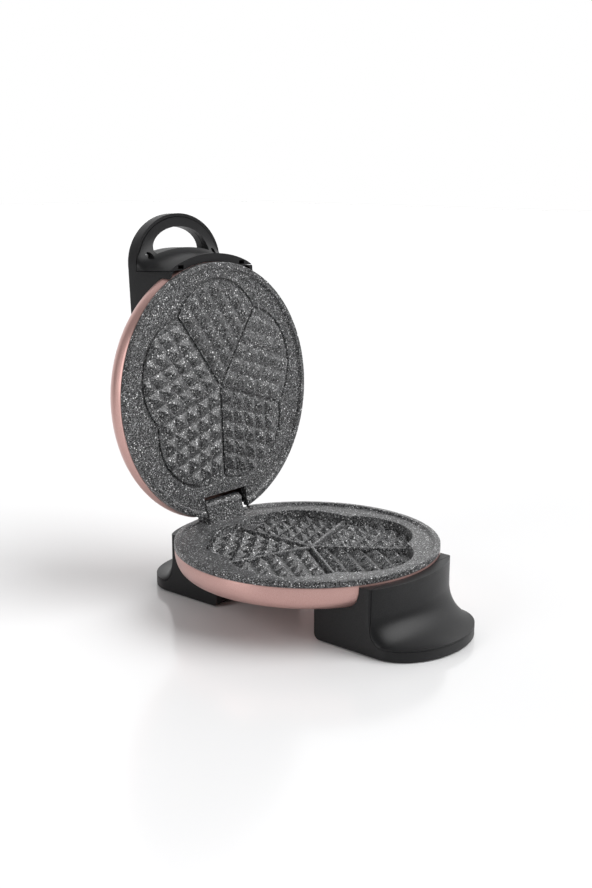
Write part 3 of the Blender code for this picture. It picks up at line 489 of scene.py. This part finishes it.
def plain(name, low, high, roughness, metallic, scale, strength=0.1):
    """A finish with a little cloud in its colour and a fine grain."""
    look = Look(name)
    cloud = look.span(look.noise(scale / 8, 3, 0.6).outputs[0], 0.3, 0.7)
    grain = look.noise(scale, 3, 0.6).outputs[0]
    look.set(Base_Color=look.mix(cloud, (*low, 1), (*high, 1)), Metallic=metallic,
             Roughness=look.span(grain, 0.3, 0.7, roughness - 0.05, roughness + 0.05))
    look.bump(grain, strength, 0.0001)
    return look.material


def lens(name, colour):
    """Tinted translucent plastic."""
    look = Look(name)
    cloud = look.span(look.noise(900, 2, 0.5).outputs[0], 0.3, 0.7)
    dim = tuple(part * 0.75 for part in colour)
    look.set(Base_Color=look.mix(cloud, (*dim, 1), (*colour, 1)), Roughness=0.12, Coat_Weight=0.4)
    return look.material


looks = {"granite_coating": granite(), "rose_gold": rose_gold(), "black_plastic": black_plastic()}
for slot, *finish in (
    ("pad_rubber", (0.02, 0.02, 0.02), (0.035, 0.035, 0.035), 0.75, 0, 1800, 0.3),
    ("screw_steel", (0.72, 0.72, 0.73), (0.84, 0.84, 0.84), 0.3, 0.6, 3000),
    ("element_steel", (0.22, 0.20, 0.18), (0.36, 0.33, 0.30), 0.45, 1, 1200),
    ("reflector_aluminium", (0.62, 0.63, 0.64), (0.74, 0.74, 0.75), 0.35, 1, 2000),
    ("terminal_nylon", (0.68, 0.66, 0.60), (0.78, 0.76, 0.71), 0.5, 0, 1500),
):
    looks[slot] = plain(slot, *finish)
for slot, tint in (("lens_amber", (0.75, 0.16, 0.03)), ("lens_green", (0.06, 0.46, 0.12))):
    looks[slot] = lens(slot, tint)


# ---------- the heart pattern ----------

def flower_point(radius, turn):
    return radius * sin(turn), -radius * cos(turn) - FLOWER_SHIFT


LOOP = [2 * pi * i / LOOP_STEPS for i in range(LOOP_STEPS)]


def flower_loop(inset, z):
    """The pattern's outline, drawn in or out, with one point in each of the loop's directions."""
    points = []
    for turn in LOOP:
        side = (turn + HALF_PETAL) % (2 * HALF_PETAL) - HALF_PETAL
        across = PETAL_CENTRE * sin(side)
        reach = PETAL_CENTRE * cos(side) + sqrt((PETAL_RADIUS - inset) ** 2 - across**2)
        points.append((*flower_point(reach, turn), z))
    return points


def round_loop(radius, z):
    """A circle round the plate's middle, with its points in the same directions as the pattern's."""
    points = []
    for turn in LOOP:
        ahead = -FLOWER_SHIFT * cos(turn)
        reach = ahead + sqrt(radius**2 - (FLOWER_SHIFT * sin(turn)) ** 2)
        points.append((*flower_point(reach, turn), z))
    return points


def plate_rings(edge, back, belly, floor, wall_top, wall_draft):
    """Rings from the middle of the back, round the rim and lip, and down into the sunk pattern."""
    skirt = PLATE_RADIUS - SKIRT_INSET
    if belly:
        inset = BELLY_INSET + BELLY_SLOPE
        line = [(PLATE_RADIUS - inset, back), (PLATE_RADIUS - BELLY_INSET, -edge - SKIRT_DEPTH)]
        line.append((skirt, -edge - SKIRT_DEPTH))
    else:
        line = [(skirt, back)]
    line += [(skirt, -edge), (PLATE_RADIUS - EDGE / 2, -edge), (PLATE_RADIUS, -edge + EDGE / 2)]
    out, inner = PLATE_RADIUS - EDGE, PLATE_RADIUS - LIP_WIDTH
    line += [(out + EDGE * cos(t), -EDGE + EDGE * sin(t)) for t in quarter_turns(ROUND_STEPS)]
    line += [(inner + EDGE / 2, 0), (inner, -EDGE / 3), (inner - LIP_SLOPE, -LIP_HEIGHT + EDGE / 3)]
    line.append((inner - LIP_SLOPE - EDGE / 2, -LIP_HEIGHT))
    rings = [round_loop(radius, z) for radius, z in line]
    for across, down in quarter(EDGE):
        rings.append(flower_loop(across - wall_top, -LIP_HEIGHT - down))
    fillet = min(FILLET, (-LIP_HEIGHT - floor) / 2)
    for across, down in reversed(quarter(fillet)):
        rings.append(flower_loop(wall_draft + fillet - across, floor + down))
    return rings


def bar_rings(turn, width, low, high, reach):
    """A ridge with a rounded back, from the pattern's middle outwards."""
    side = (cos(turn), sin(turn))
    half, crown = width / 2, DIVIDER_ROUND
    section = [(-half - DIVIDER_DRAFT, low)]
    for t in quarter_turns(ROUND_STEPS):
        section.append((-half + crown - crown * cos(t), high - crown + crown * sin(t)))
    section += [(-a, z) for a, z in reversed(section)]
    rings = []
    for distance in (0, reach):
        x, y = flower_point(distance, turn)
        rings.append([(x + a * side[0], y + a * side[1], z) for a, z in section])
    return rings


def stud_rings(corners, base, tip):
    """A pyramid with softened edges and a blunt tip, as rings of a rounded rhombus."""
    middle = Vector([sum(axis) / 4 for axis in zip(*corners)])
    rings = []
    rise = tip - base
    for share, height in STUD_LEVELS:
        soft = STUD_SOFT + STUD_MELT * (1 - share) ** 4
        ring = []
        for i in range(4):
            here, before, after = (Vector(corners[(i + step) % 4]) for step in (0, -1, 1))
            for part in (0, 0.5, 1):
                near, far = here.lerp(before, soft), here.lerp(after, soft)
                bow = near.lerp(far, part).lerp(here, STUD_BOW if part == 0.5 else 0)
                spot = middle.lerp(bow, share)
                ring.append((spot.x, spot.y, base + rise * height))
        rings.append(ring)
    x, y, blunt = middle.x, middle.y, STUD_BLUNT
    rings.append([(x + (a - x) * blunt, y + (b - y) * blunt, base + rise) for a, b, z in rings[-1]])
    return rings


def stud_foot(petal, row, column):
    """The four corners of one pyramid, in rows along the petal's two dividers."""
    axis = 2 * HALF_PETAL * petal
    first = (sin(axis + HALF_PETAL), -cos(axis + HALF_PETAL))
    second = (sin(axis - HALF_PETAL), -cos(axis - HALF_PETAL))
    low, high = STUD_START + STUD_SPACE / 2, STUD_START + STUD_PITCH - STUD_SPACE / 2
    corners = []
    for a, b in ((low, low), (high, low), (high, high), (low, high)):
        along, across = a + row * STUD_PITCH, b + column * STUD_PITCH
        x, y = [along * one + across * other for one, other in zip(first, second)]
        corners.append((x, y - FLOWER_SHIFT))
    return corners


def studs(name, base, tip, sunk):
    """Rows of pyramids in each petal, trimmed to the outline."""
    verts, faces = [], []
    for petal in range(PETALS):
        middle = flower_point(PETAL_CENTRE, 2 * HALF_PETAL * petal)
        for row in range(STUDS_A_SIDE):
            for column in range(STUDS_A_SIDE):
                corners = stud_foot(petal, row, column)
                x, y = [sum(side) / 4 for side in zip(*corners)]
                if hypot(x - middle[0], y - middle[1]) > PETAL_RADIUS - STUD_EDGE - STUD_SPACE:
                    continue
                rings = stud_rings(corners, base, tip)
                rings.insert(0, [(x, y, z - sunk) for x, y, z in rings[0]])
                more, sides = loft_parts(rings, len(verts))
                verts += more
                faces += sides
    made = new_object(name, verts, faces)
    ends = min(base, tip) - TRIM_SPARE, max(base, tip) + TRIM_SPARE
    return keep(made, loft("trim", [flower_loop(STUD_EDGE, z) for z in ends]))


def petal_outline(petal, inset):
    """One petal's field between the grooves: a point near the middle, and the petal's arc."""
    radius = PETAL_RADIUS - inset
    half = HALF_PETAL + asin((PETAL_CENTRE * sin(HALF_PETAL) - inset) / radius)
    turns = [half * (i / PETAL_STEPS - 1) for i in range(2 * PETAL_STEPS + 1)]
    points = [(inset / sin(HALF_PETAL), 0)]
    points += [(PETAL_CENTRE + radius * cos(t), radius * sin(t)) for t in turns]
    return [flower_point(hypot(a, b), 2 * HALF_PETAL * petal + atan2(b, a)) for a, b in points]


def merge(target, *others):
    """Lays pieces that only touch or sink into each other together as one object."""
    made = bmesh.new()
    for part in (target, *others):
        made.from_mesh(part.data)
    made.to_mesh(target.data)
    made.free()
    for part in others:
        bpy.data.objects.remove(part)
    return target


# ---------- cooking plates ----------

def post_places():
    return [(POST_RING * cos(t), POST_RING * sin(t)) for t in (pi / 2, pi * 7 / 6, pi * 11 / 6)]


def posts(base, tip):
    return [rod("post", POST_RADIUS, (*spot, base), (*spot, tip)) for spot in post_places()]


def tongue(name, rounding):
    """The hinge tongue, which narrows from the plate up to the knuckle and has softened ends."""
    low, flat = -2 * LIP_HEIGHT, TONGUE_HALF - rounding
    turns = [pi * i / ROD_STEPS for i in range(ROD_STEPS + 1)]
    rings = []
    for x, less in ((-TONGUE_HALF, rounding), (-flat, 0), (flat, 0), (TONGUE_HALF, rounding)):
        radius = KNUCKLE_RADIUS - less
        arc = [(x, HINGE_Y - radius * cos(t), HINGE_Z + radius * sin(t)) for t in turns]
        near, far = HINGE_Y - TONGUE_FOOT + less, HINGE_Y + KNUCKLE_RADIUS - less
        rings.append([(x, near, low), *arc, (x, far, low)])
    return loft(name, rings)


def bore(half):
    ends = [(x, HINGE_Y, HINGE_Z) for x in (-half, half)]
    return rod("bore", PIN_RADIUS + PIN_PLAY, *ends, "X")


def lower_plate():
    floor = -LIP_HEIGHT - RECESS_DEPTH
    back = floor - BELLY_DEPTH
    made = loft("lower_plate_fine", plate_rings(LOWER_EDGE, back, True, floor, EDGE, WALL_DRAFT))
    far, start = PLATE_RADIUS * 2, HINGE_Y - RELIEF_START
    cut(made, box("relief", (-RELIEF_HALF, start, -RELIEF_DEPTH), (RELIEF_HALF, far, far)))
    low, high, parts = floor - SUNK, floor + DIVIDER_HEIGHT, []
    for arm in range(PETALS):
        turn = HALF_PETAL * (2 * arm + 1)
        parts.append(loft("bar", bar_rings(turn, DIVIDER_WIDTH, low, high, CUSP_RADIUS + 1)))
    parts.append(studs("studs", floor, floor + LOWER_STUD, SUNK))
    parts.append(cut(tongue("tongue", TONGUE_ROUND), bore(TONGUE_HALF + 1)))
    place(merge(made, *parts, *posts(back + 1, back + 1 - LOWER_POST)), BASE, "lower_plate")


def petal_field(petal, floor):
    """The raised flat between the grooves of one petal, with a softened edge."""
    side, soft = GROOVE_WIDTH / 2, FIELD_ROUND
    rings = [(side, floor - SUNK)]
    rings += [(side + down, -LIP_HEIGHT - soft + across) for across, down in quarter(soft)]
    outlines = [(petal_outline(petal, inset), z) for inset, z in rings]
    return loft("field", [[(x, y, z) for x, y in outline] for outline, z in outlines])


def turn_over(obj):
    """Sets what was drawn face up above the lower plate, face down."""
    obj.data.transform(Matrix.Translation((0, 0, LID_GAP)) @ Matrix.Scale(-1, 4, (0, 0, 1)))
    obj.data.flip_normals()
    return obj


def upper_plate():
    floor, low = -LIP_HEIGHT - GROOVE_DEPTH, -LIP_HEIGHT - UPPER_DEPTH
    top, draft = GROOVE_WIDTH / 2 + EDGE, UPPER_DRAFT - GROOVE_WIDTH / 2
    made = loft("upper_plate_fine", plate_rings(UPPER_EDGE, low, False, floor, top, draft))
    far, start = PLATE_RADIUS * 2, HINGE_Y - NOTCH_DEPTH
    cut(turn_over(made), box("notch", (-NOTCH_HALF, start, -far), (NOTCH_HALF, far, far)))
    fields = [petal_field(petal, floor) for petal in range(PETALS)]
    fields.append(studs("studs", -LIP_HEIGHT, -LIP_HEIGHT + UPPER_STUD, SUNK))
    cheeks = []
    for side in (-1, 1):
        ends = [(side * (NOTCH_HALF + x), HINGE_Y, HINGE_Z) for x in (0, CHEEK_LENGTH)]
        cheeks.append(cut(rod("cheek", CHEEK_RADIUS, *ends, "X", PIN_ROUND), bore(PLATE_RADIUS)))
    foot = LID_GAP - low - 1
    parts = [*[turn_over(field) for field in fields], *cheeks, *posts(foot, foot + UPPER_POST)]
    place(merge(made, *parts), LID, "upper_plate")


# ---------- shells ----------

def smooth_line(points):
    """A smooth line through points, with its two ends running straight on."""
    line = []
    for i in range(len(points) - 1):
        p = [Vector(points[max(0, min(len(points) - 1, i + step))]) for step in (-1, 0, 1, 2)]
        if i + 2 >= len(points):
            p[3] = Vector((-p[1].x, p[1].y))
        square = 2 * p[0] - 5 * p[1] + 4 * p[2] - p[3]
        cube = 3 * p[1] - p[0] - 3 * p[2] + p[3]
        for part in range(CURVE_STEPS):
            t = part / CURVE_STEPS
            spot = 0.5 * (2 * p[1] + (p[2] - p[0]) * t + square * t**2 + cube * t**3)
            line.append((spot.x, spot.y))
    return line + [points[-1]]


def shell_line(form, sign, grow):
    """(radius, z) of a shell from its edge to its middle, grown outwards by a distance."""
    depth = form["depth"]
    places = smooth_line([(share * PLATE_RADIUS, sign * part * depth) for share, part in form["form"]])
    grown = []
    for i, (radius, z) in enumerate(places):
        before, after = places[max(i - 1, 0)], places[min(i + 1, len(places) - 1)]
        along = Vector(after) - Vector(before)
        side = Vector((sign * along.y, -sign * along.x)) if radius else Vector((0, sign))
        outward = side.normalized()
        grown.append((radius + grow * outward.x, z + grow * outward.y))
    grown[0] = (grown[0][0], places[0][1])
    return grown


def shell(name, form, sign):
    outer, inner = shell_line(form, sign, 0), shell_line(form, sign, -SHELL_WALL)
    lift = sign * SHELL_LIFT
    rim = [(outer[0][0] - SHELL_ROUND, outer[0][1] - lift), (inner[0][0] + SHELL_ROUND, inner[0][1] - lift)]
    return turned(name, rim[:1] + outer[1:] + inner[::-1][:-1] + rim[1:])


def clearance(form, sign):
    outline, top = shell_line(form, sign, SHELL_GAP), -sign * PLATE_RADIUS
    return turned("clearance", [(0, top), (outline[0][0], top), *outline])


def lower_shell():
    place(shell("lower_shell_fine", LOWER_SHELL, DOWN), BASE, "lower_shell")


def upper_shell():
    made = shell("upper_shell_fine", UPPER_SHELL, UP)
    half = NOTCH_HALF + CHEEK_LENGTH + CHEEK_SPACE
    top = HINGE_Z + KNUCKLE_RADIUS + CHEEK_SPACE
    cut(made, box("notch", (-half, HINGE_Y - NOTCH_DEPTH, 0), (half, PLATE_RADIUS * 2, top)))
    place(made, LID, "upper_shell")


# ---------- feet and handle ----------

def flare_outline(form, share, inset, end):
    """Seen from above: an arc round the plate at share 0, opening into half an ellipse at share 1."""
    half, wall = form["half"] - inset, form["wall"] - inset
    points = []
    for i in range(FRONT_STEPS + 1):
        turn = pi * i / FRONT_STEPS
        x = half * cos(turn)
        corner = (1 - abs(cos(turn)) ** CORNER_POWER) ** (1 / CORNER_POWER)
        near = form["shoulder"] + (sqrt(wall**2 - x**2) - form["shoulder"]) * corner
        far = form["centre"] + (form["depth"] - inset) * sin(turn)
        points.append((x, near + (far - near) * share))
    back = form["inner"] + inset
    points += [(-half, back), (half, back)]
    return [(x, end * y) for x, y in points]


def flare_levels(form):
    """(share, depth) from the plain wall, through the hollow curve, to the flat face."""
    levels = [(0, form["start"]), (0, form["flare"])]
    power, rise = form["power"], form["face"] - form["flare"]
    for i in range(1, FLARE_STEPS + 1):
        turn = pi / 2 * i / FLARE_STEPS
        height = sin(turn) ** (2 / power) if i < FLARE_STEPS - 1 else 1
        levels.append((1 - cos(turn) ** (2 / power), form["flare"] + rise * height))
    return levels


def flare(name, form, end, sign, inset=0, shift=0, bottom=None):
    """A foot or a handle: its wall follows the plate, and then flares out to a thick, rounded rim."""
    levels = [(share, inset, depth + shift) for share, depth in flare_levels(form)]
    if bottom is None:
        for across, down in reversed(quarter(EDGE)):
            levels.append((1, inset + EDGE - across, form["end"] - down))
    else:
        levels.append((1, inset, bottom))
    outlines = [(flare_outline(form, share, less, end), depth) for share, less, depth in levels]
    return loft(name, [[(x, y, sign * depth) for x, y in outline] for outline, depth in outlines])


def seam_prism(end, spare):
    """The space in front of the feet's seam, which runs along the wall and turns out under the rim."""
    far, near, level = PLATE_RADIUS * 2, FOOT_SEAM + spare, FOOT_SEAM_DEPTH - spare
    turns = quarter_turns(BEND_STEPS)
    bend = [(near + SEAM_ROUND * (1 - cos(t)), level - SEAM_ROUND * (1 - sin(t))) for t in turns]
    outline = [(near, -SEAM_TOP), *bend, (far, level), (far, -SEAM_TOP)]
    return side_prism("seam", [(end * y, -z) for y, z in outline], FOOT["half"] * 2)


def foot_edge(end):
    """What the rounding takes off the frame's lower inner edge."""
    inner, bottom, turns = FOOT["inner"], -FOOT["end"], quarter_turns(BEND_STEPS)
    arc = [(inner + FOOT_CORNER * (1 - cos(t)), bottom + FOOT_CORNER * (1 - sin(t))) for t in turns]
    out, under = inner - SUNK, bottom - SUNK
    outline = [(out, under), (out, arc[0][1]), *arc, (arc[-1][0], under)]
    return side_prism("edge", [(end * y, z) for y, z in outline], FOOT["half"] + SUNK)


def foot_frame(node, end):
    made = flare(node + "_fine", FOOT, end, DOWN)
    carve(made, seam_prism(end, 0), clearance(LOWER_SHELL, DOWN))
    half, inner = FOOT["half"] - PLASTIC_WALL, FOOT["inner"] + PLASTIC_WALL
    ledge, low = FOOT_SEAM_DEPTH + PLASTIC_WALL, -FLOOR_DROP - 2
    ys = sorted((end * inner, end * (FOOT_SEAM - PLASTIC_WALL)))
    carve(made, prism("hollow", flare_outline(FOOT, 1, PLASTIC_WALL, end), low, -ledge))
    room = box("hollow", (-half, ys[0], -ledge - SUNK), (half, ys[1], -CEILING_DEPTH))
    carve(made, room, foot_edge(end))
    for side in (-1, 1):
        spot = (side * PAD_X, end * PAD_Y)
        boss = rod("boss", PAD_RADIUS + PLASTIC_WALL, (*spot, -FOOT["end"]), (*spot, -ledge + SUNK))
        socket = rod("socket", PAD_RADIUS + GAP, (*spot, low), (*spot, -FLOOR_DROP + PAD_SUNK + GAP))
        ends = [(side * FOOT_SCREW_X, end * FOOT_SCREW_Y, z) for z in (-CEILING_DEPTH - SUNK, 0)]
        carve(attach(made, boss), socket, rod("hole", SCREW_SHANK + SCREW_PLAY, *ends))
    place(made, BASE, node)


def foot_cover(node, end):
    made = trim(flare(node + "_fine", FOOT, end, DOWN), seam_prism(end, GAP))
    under = FOOT["end"] + PLASTIC_WALL * 2
    hollow = flare("hollow", FOOT, end, DOWN, PLASTIC_WALL, PLASTIC_WALL, under)
    carve(made, clearance(LOWER_SHELL, DOWN), hollow)
    if end == REAR:
        ys = (PLATE_RADIUS - SCREW_HEAD, FOOT["wall"] + SCREW_HEAD)
        carve(made, rod("hole", GLAND_RADIUS + GAP, *[(0, end * y, -GLAND_DROP) for y in ys], "Y"))
    place(made, BASE, node)


def grip_outline(grow):
    """The finger opening: a half ellipse closed by an arc round the plate."""
    half, depth, near = GRIP_HALF + grow, GRIP_DEPTH + grow, GRIP_NEAR - grow
    turns = [pi * i / FRONT_STEPS for i in range(FRONT_STEPS + 1)]
    far = [(half * cos(t), -GRIP_CENTRE - depth * sin(t)) for t in turns]
    xs = [half * (2 * i / ROD_STEPS - 1) * GRIP_NARROW for i in range(ROD_STEPS + 1)]
    return far + [(x, -sqrt(near**2 - x**2)) for x in xs]


def grip(grow):
    return prism("grip", grip_outline(grow), 0, HANDLE["end"] * 2)


def face_outline(inset, spare):
    """The face in the grip: the flare's outline, closed near the seam by two round corners."""
    near, half, round_off = HANDLE_SEAM + spare + WELD, HANDLE["half"] - inset, HANDLE_CORNER
    turns = quarter_turns(BEND_STEPS)
    corner = [(half - round_off * (1 - cos(t)), near + round_off * (1 - sin(t))) for t in turns]
    edge = [(-x, -y) for x, y in corner] + [(x, -y) for x, y in reversed(corner)]
    rim = flare_outline(HANDLE, 1, inset, FRONT)[:-2]
    return [(x, y) for x, y in rim if -y > near + round_off] + edge


def inner_space(spare):
    """The space for the inner cover: all in front of the seam, and a recess inside the grip's rim."""
    far, level = PLATE_RADIUS * 2, HANDLE["face"] + GAP / 2 - spare
    made = box("space", (-far, -far, -far), (far, -HANDLE_SEAM - spare, level))
    top, outline = HANDLE["face"] + HANDLE_INLAY + GAP - spare, face_outline(HANDLE_RIM + spare, spare)
    return join(made, prism("recess", outline, level - HANDLE_INLAY, top))


def handle_outer_cover():
    made = flare("handle_outer_cover_fine", HANDLE, FRONT, UP)
    carve(made, clearance(UPPER_SHELL, UP), inner_space(0))
    top, base = HANDLE["end"] - PLASTIC_WALL, HANDLE["face"] + HANDLE_INLAY + GAP
    hollow = flare("hollow", HANDLE, FRONT, UP, PLASTIC_WALL, -PLASTIC_WALL, top)
    carve(made, carve(hollow, grip(GRIP_WALL)), grip(0))
    for side in (-1, 1):
        spot = (side * HANDLE_SCREW_X, -HANDLE_SCREW_Y)
        post = rod("post", POST_RADIUS, (*spot, base), (*spot, top + SUNK))
        ends = [(*spot, z) for z in (base - SUNK, base + HANDLE_SCREW_DEPTH)]
        drill = rod("drill", SCREW_SHANK + SCREW_PLAY, *ends)
        ends = [(side * LENS_SPACING, -LENS_Y, z) for z in (top - SUNK, HANDLE["end"] + SUNK)]
        carve(attach(made, post), drill, rod("window", LENS_RADIUS + GAP, *ends))
    place(made, LID, "handle_outer_cover")


def snap_window(side):
    low, high = HANDLE["start"] - SUNK, SNAP_Z + SNAP_HEIGHT / 2
    xs = [side * SNAP_X - SNAP_WIDTH / 2, side * SNAP_X + SNAP_WIDTH / 2]
    start = -sqrt(HANDLE["wall"] ** 2 - SNAP_X**2) + SNAP_LIP
    return box("snap", (xs[0], start, low), (xs[1], start + SNAP_DEPTH, high))


def handle_inner_cover():
    made = trim(flare("handle_inner_cover_fine", HANDLE, FRONT, UP), inner_space(SEAM_SHADOW))
    carve(made, clearance(UPPER_SHELL, UP))
    inset, top = HANDLE_RIM + GAP + HANDLE_FLANGE, HANDLE["face"] + HANDLE_INLAY
    hollow = flare("hollow", HANDLE, FRONT, UP, inset, HANDLE_SKIN, HANDLE["end"])
    carve(made, carve(hollow, grip(GRIP_WALL)), grip(0))
    for side in (-1, 1):
        foot, spot = (side * HANDLE_SCREW_X, -HANDLE_SCREW_Y, 0), (side * HANDLE_SCREW_X, -HANDLE_SCREW_Y)
        boss = rod("boss", HANDLE_BOSS_RADIUS, foot, (*spot, top))
        attach(made, trim(boss, flare("inside", HANDLE, FRONT, UP, SUNK, SUNK, HANDLE["end"])))
        carve(made, rod("hole", SCREW_SHANK + SCREW_PLAY, foot, (*spot, HANDLE["end"])))
        carve(made, rod("seat", SMALL_HEAD + SCREW_PLAY, foot, (*spot, top - HANDLE_SCREW_SKIN)))
        carve(made, snap_window(side))
    place(made, LID, "handle_inner_cover")


# ---------- small pieces ----------

def screw(node, spot, length, head_radius, height, where):
    """A pan-head screw with a cross recess, pointing up from the middle of its head's underside."""
    x, y, head = spot
    tip = head + length
    profile = [(0, tip), (SCREW_SHANK * SCREW_TIP, tip), (SCREW_SHANK, tip - SCREW_POINT)]
    profile += [(SCREW_SHANK, head), (head_radius, head), (head_radius, head - height * HEAD_SIDE)]
    for t in quarter_turns(HEAD_STEPS)[1:-1]:
        down = height * (HEAD_SIDE + (1 - HEAD_SIDE) * sin(t))
        profile.append((head_radius * cos(t) ** HEAD_BULGE, head - down))
    made = turned(node + "_fine", profile + [(0, head - height)], ROD_STEPS, (x, y))
    low, high = head - height - 1, head - height * CROSS_DEPTH
    long, slot = head_radius * CROSS_REACH, head_radius * CROSS_WIDTH
    for wide, deep in ((long, slot), (slot, long)):
        cut(made, box("cross", (x - wide, y - deep, low), (x + wide, y + deep, high)))
    place(made, where, node)


def rubber_pad(node, x, y):
    ends = [(x, y, z) for z in (-FLOOR_DROP, -FLOOR_DROP + PAD_SUNK)]
    place(rod(node + "_fine", PAD_RADIUS, *ends, "Z", PAD_ROUND), BASE, node)


def signal_lens(node, side):
    top, spot = HANDLE["end"], (side * LENS_SPACING, -LENS_Y)
    low, rise = top - PLASTIC_WALL, LENS_PROUD - LENS_SIDE
    profile = [(0, low), (LENS_RADIUS, low), (LENS_RADIUS, top + LENS_SIDE)]
    for t in quarter_turns(LENS_STEPS)[1:-1]:
        profile.append((LENS_RADIUS * cos(t), top + LENS_SIDE + rise * sin(t)))
    place(turned(node + "_fine", profile + [(0, top + LENS_PROUD)], ROD_STEPS, spot), LID, node)


def cord_gland():
    """A stem through the foot's wall, with a flange outside and a bore for a cord."""
    def stretch(name, radius, low, high, rounding=0):
        return rod(name, radius, (0, low, -GLAND_DROP), (0, high, -GLAND_DROP), "Y", rounding)

    start, seat = PLATE_RADIUS - SHELL_WALL * 4, FOOT["wall"] + GAP
    made = stretch("cord_gland_fine", GLAND_RADIUS, start, seat + SUNK)
    join(made, stretch("flange", GLAND_FLANGE, seat, seat + GLAND_FLANGE_WIDTH, GLAND_ROUND))
    cut(made, stretch("bore", GLAND_BORE, start - 1, seat + GLAND_FLANGE))
    place(made, BASE, "cord_gland")


def hinge_pin():
    ends = [(side * PIN_HALF, HINGE_Y, HINGE_Z) for side in (-1, 1)]
    place(rod("hinge_pin_fine", PIN_RADIUS, *ends, "X", PIN_ROUND), BASE, "hinge_pin")


def carried_over():
    """The pieces that keep their CAD shape get the finish of their slot."""
    for node, obj in frame["nodes"].items():
        dress(obj, node)


# ---------- stage ----------

def stage_material(name, colour, roughness):
    look = Look(name)
    cloud = look.span(look.noise(3, 2, 0.5).outputs[0], 0.3, 0.7)
    dim = tuple(part * 0.99 for part in colour)
    look.set(Base_Color=look.mix(cloud, (*dim, 1), (*colour, 1)), Roughness=roughness)
    return look.material


def hang(data, spot, direction):
    """Puts a light at a spot, shining along a direction."""
    lamp = bpy.data.objects.new(data.name, data)
    lamp.location = spot
    lamp.rotation_euler = direction.to_track_quat("-Z", "Y").to_euler()
    bpy.context.scene.collection.objects.link(lamp)


def side_lamp(spot, aim, size, power):
    data = bpy.data.lights.new("left", "AREA")
    data.shape = "RECTANGLE"
    data.size, data.size_y = size
    data.energy = power
    hang(data, spot, Vector(aim) - Vector(spot))


def studio_world():
    """A white backdrop behind the object and a dim room in front. Seen directly, all of it is white."""
    world = bpy.data.worlds.new("studio")
    bpy.context.scene.world = world
    world.use_nodes = True
    tree = world.node_tree

    def span(value, numbers, smooth=False):
        node = tree.nodes.new("ShaderNodeMapRange")
        node.interpolation_type = "SMOOTHSTEP" if smooth else "LINEAR"
        tree.links.new(value, node.inputs["Value"])
        for socket, number in zip(("From Min", "From Max", "To Min", "To Max"), numbers):
            if isinstance(number, bpy.types.NodeSocket):
                tree.links.new(number, node.inputs[socket])
            else:
                node.inputs[socket].default_value = number
        return node.outputs["Result"]

    turn = tree.nodes.new("ShaderNodeVectorMath")
    turn.operation = "DOT_PRODUCT"
    tree.links.new(tree.nodes.new("ShaderNodeTexCoord").outputs["Generated"], turn.inputs[0])
    turn.inputs[1].default_value = BACKDROP
    numbers = (BACKDROP_START, BACKDROP_END, ROOM_LIGHT, BACKDROP_LIGHT)
    backdrop = span(turn.outputs["Value"], numbers, True)
    seen = tree.nodes.new("ShaderNodeLightPath").outputs["Is Camera Ray"]
    background = tree.nodes["Background"]
    background.inputs["Color"].default_value = (1, 1, 1, 1)
    tree.links.new(span(seen, (0, 1, backdrop, 1.0)), background.inputs["Strength"])


def softbox(strength, spread, direction):
    """A light that is wide and so far away that it lights the whole floor evenly."""
    data = bpy.data.lights.new("softbox", "SUN")
    data.energy = strength
    data.angle = radians(spread)
    hang(data, (0, 0, 0), Vector(direction))


def stage():
    bpy.context.scene.view_settings.view_transform = "Standard"
    corners = [(x * FLOOR_HALF, y * FLOOR_HALF, 0) for x, y in ((-1, -1), (1, -1), (1, 1), (-1, 1))]
    floor = new_object("floor", corners, [(0, 1, 2, 3)])
    floor.data.materials.append(stage_material("floor", FLOOR_COLOUR, FLOOR_ROUGHNESS))
    studio_world()
    softbox(**SOFTBOX)
    side_lamp(**SIDE_LAMP)


def camera():
    """Stands to the left of the front and looks down a little, as the object is usually shown."""
    data = bpy.data.cameras.new("camera")
    data.sensor_width = 36
    data.lens = CAMERA_LENS
    data.clip_start = CAMERA_NEAR
    made = bpy.data.objects.new("camera", data)
    bpy.context.scene.collection.objects.link(made)
    turn = Matrix((CAMERA_RIGHT, CAMERA_UP, -Vector(CAMERA_AHEAD))).transposed()
    spot = Vector(hinge["pos_m"]) + Vector(CAMERA_FROM_HINGE)
    made.matrix_world = Matrix.Translation(spot) @ turn.to_4x4()
    bpy.context.scene.camera = made


carried_over()
lower_plate()
upper_plate()
lower_shell()
upper_shell()
for word, end in (("front", FRONT), ("rear", REAR)):
    foot_frame(f"{word}_foot_frame", end)
    foot_cover(f"{word}_foot_cover", end)
    for hand, side in (("left", -1), ("right", 1)):
        rubber_pad(f"{word}_{hand}_rubber_pad", side * PAD_X, end * PAD_Y)
        spot = (side * FOOT_SCREW_X, end * FOOT_SCREW_Y, -CEILING_DEPTH - GAP)
        screw(f"{word}_{hand}_foot_screw", spot, FOOT_SCREW_LENGTH, SCREW_HEAD, SCREW_HEIGHT, BASE)
handle_outer_cover()
handle_inner_cover()
head_z = HANDLE["face"] + HANDLE_INLAY - HANDLE_SCREW_SKIN - GAP
for hand, side in (("left", -1), ("right", 1)):
    spot = (side * HANDLE_SCREW_X, -HANDLE_SCREW_Y, head_z)
    screw(f"handle_{hand}_screw", spot, HANDLE_SCREW_LENGTH, SMALL_HEAD, SMALL_HEIGHT, LID)
signal_lens("power_lens", -1)
signal_lens("ready_lens", 1)
cord_gland()
hinge_pin()
stage()
camera()
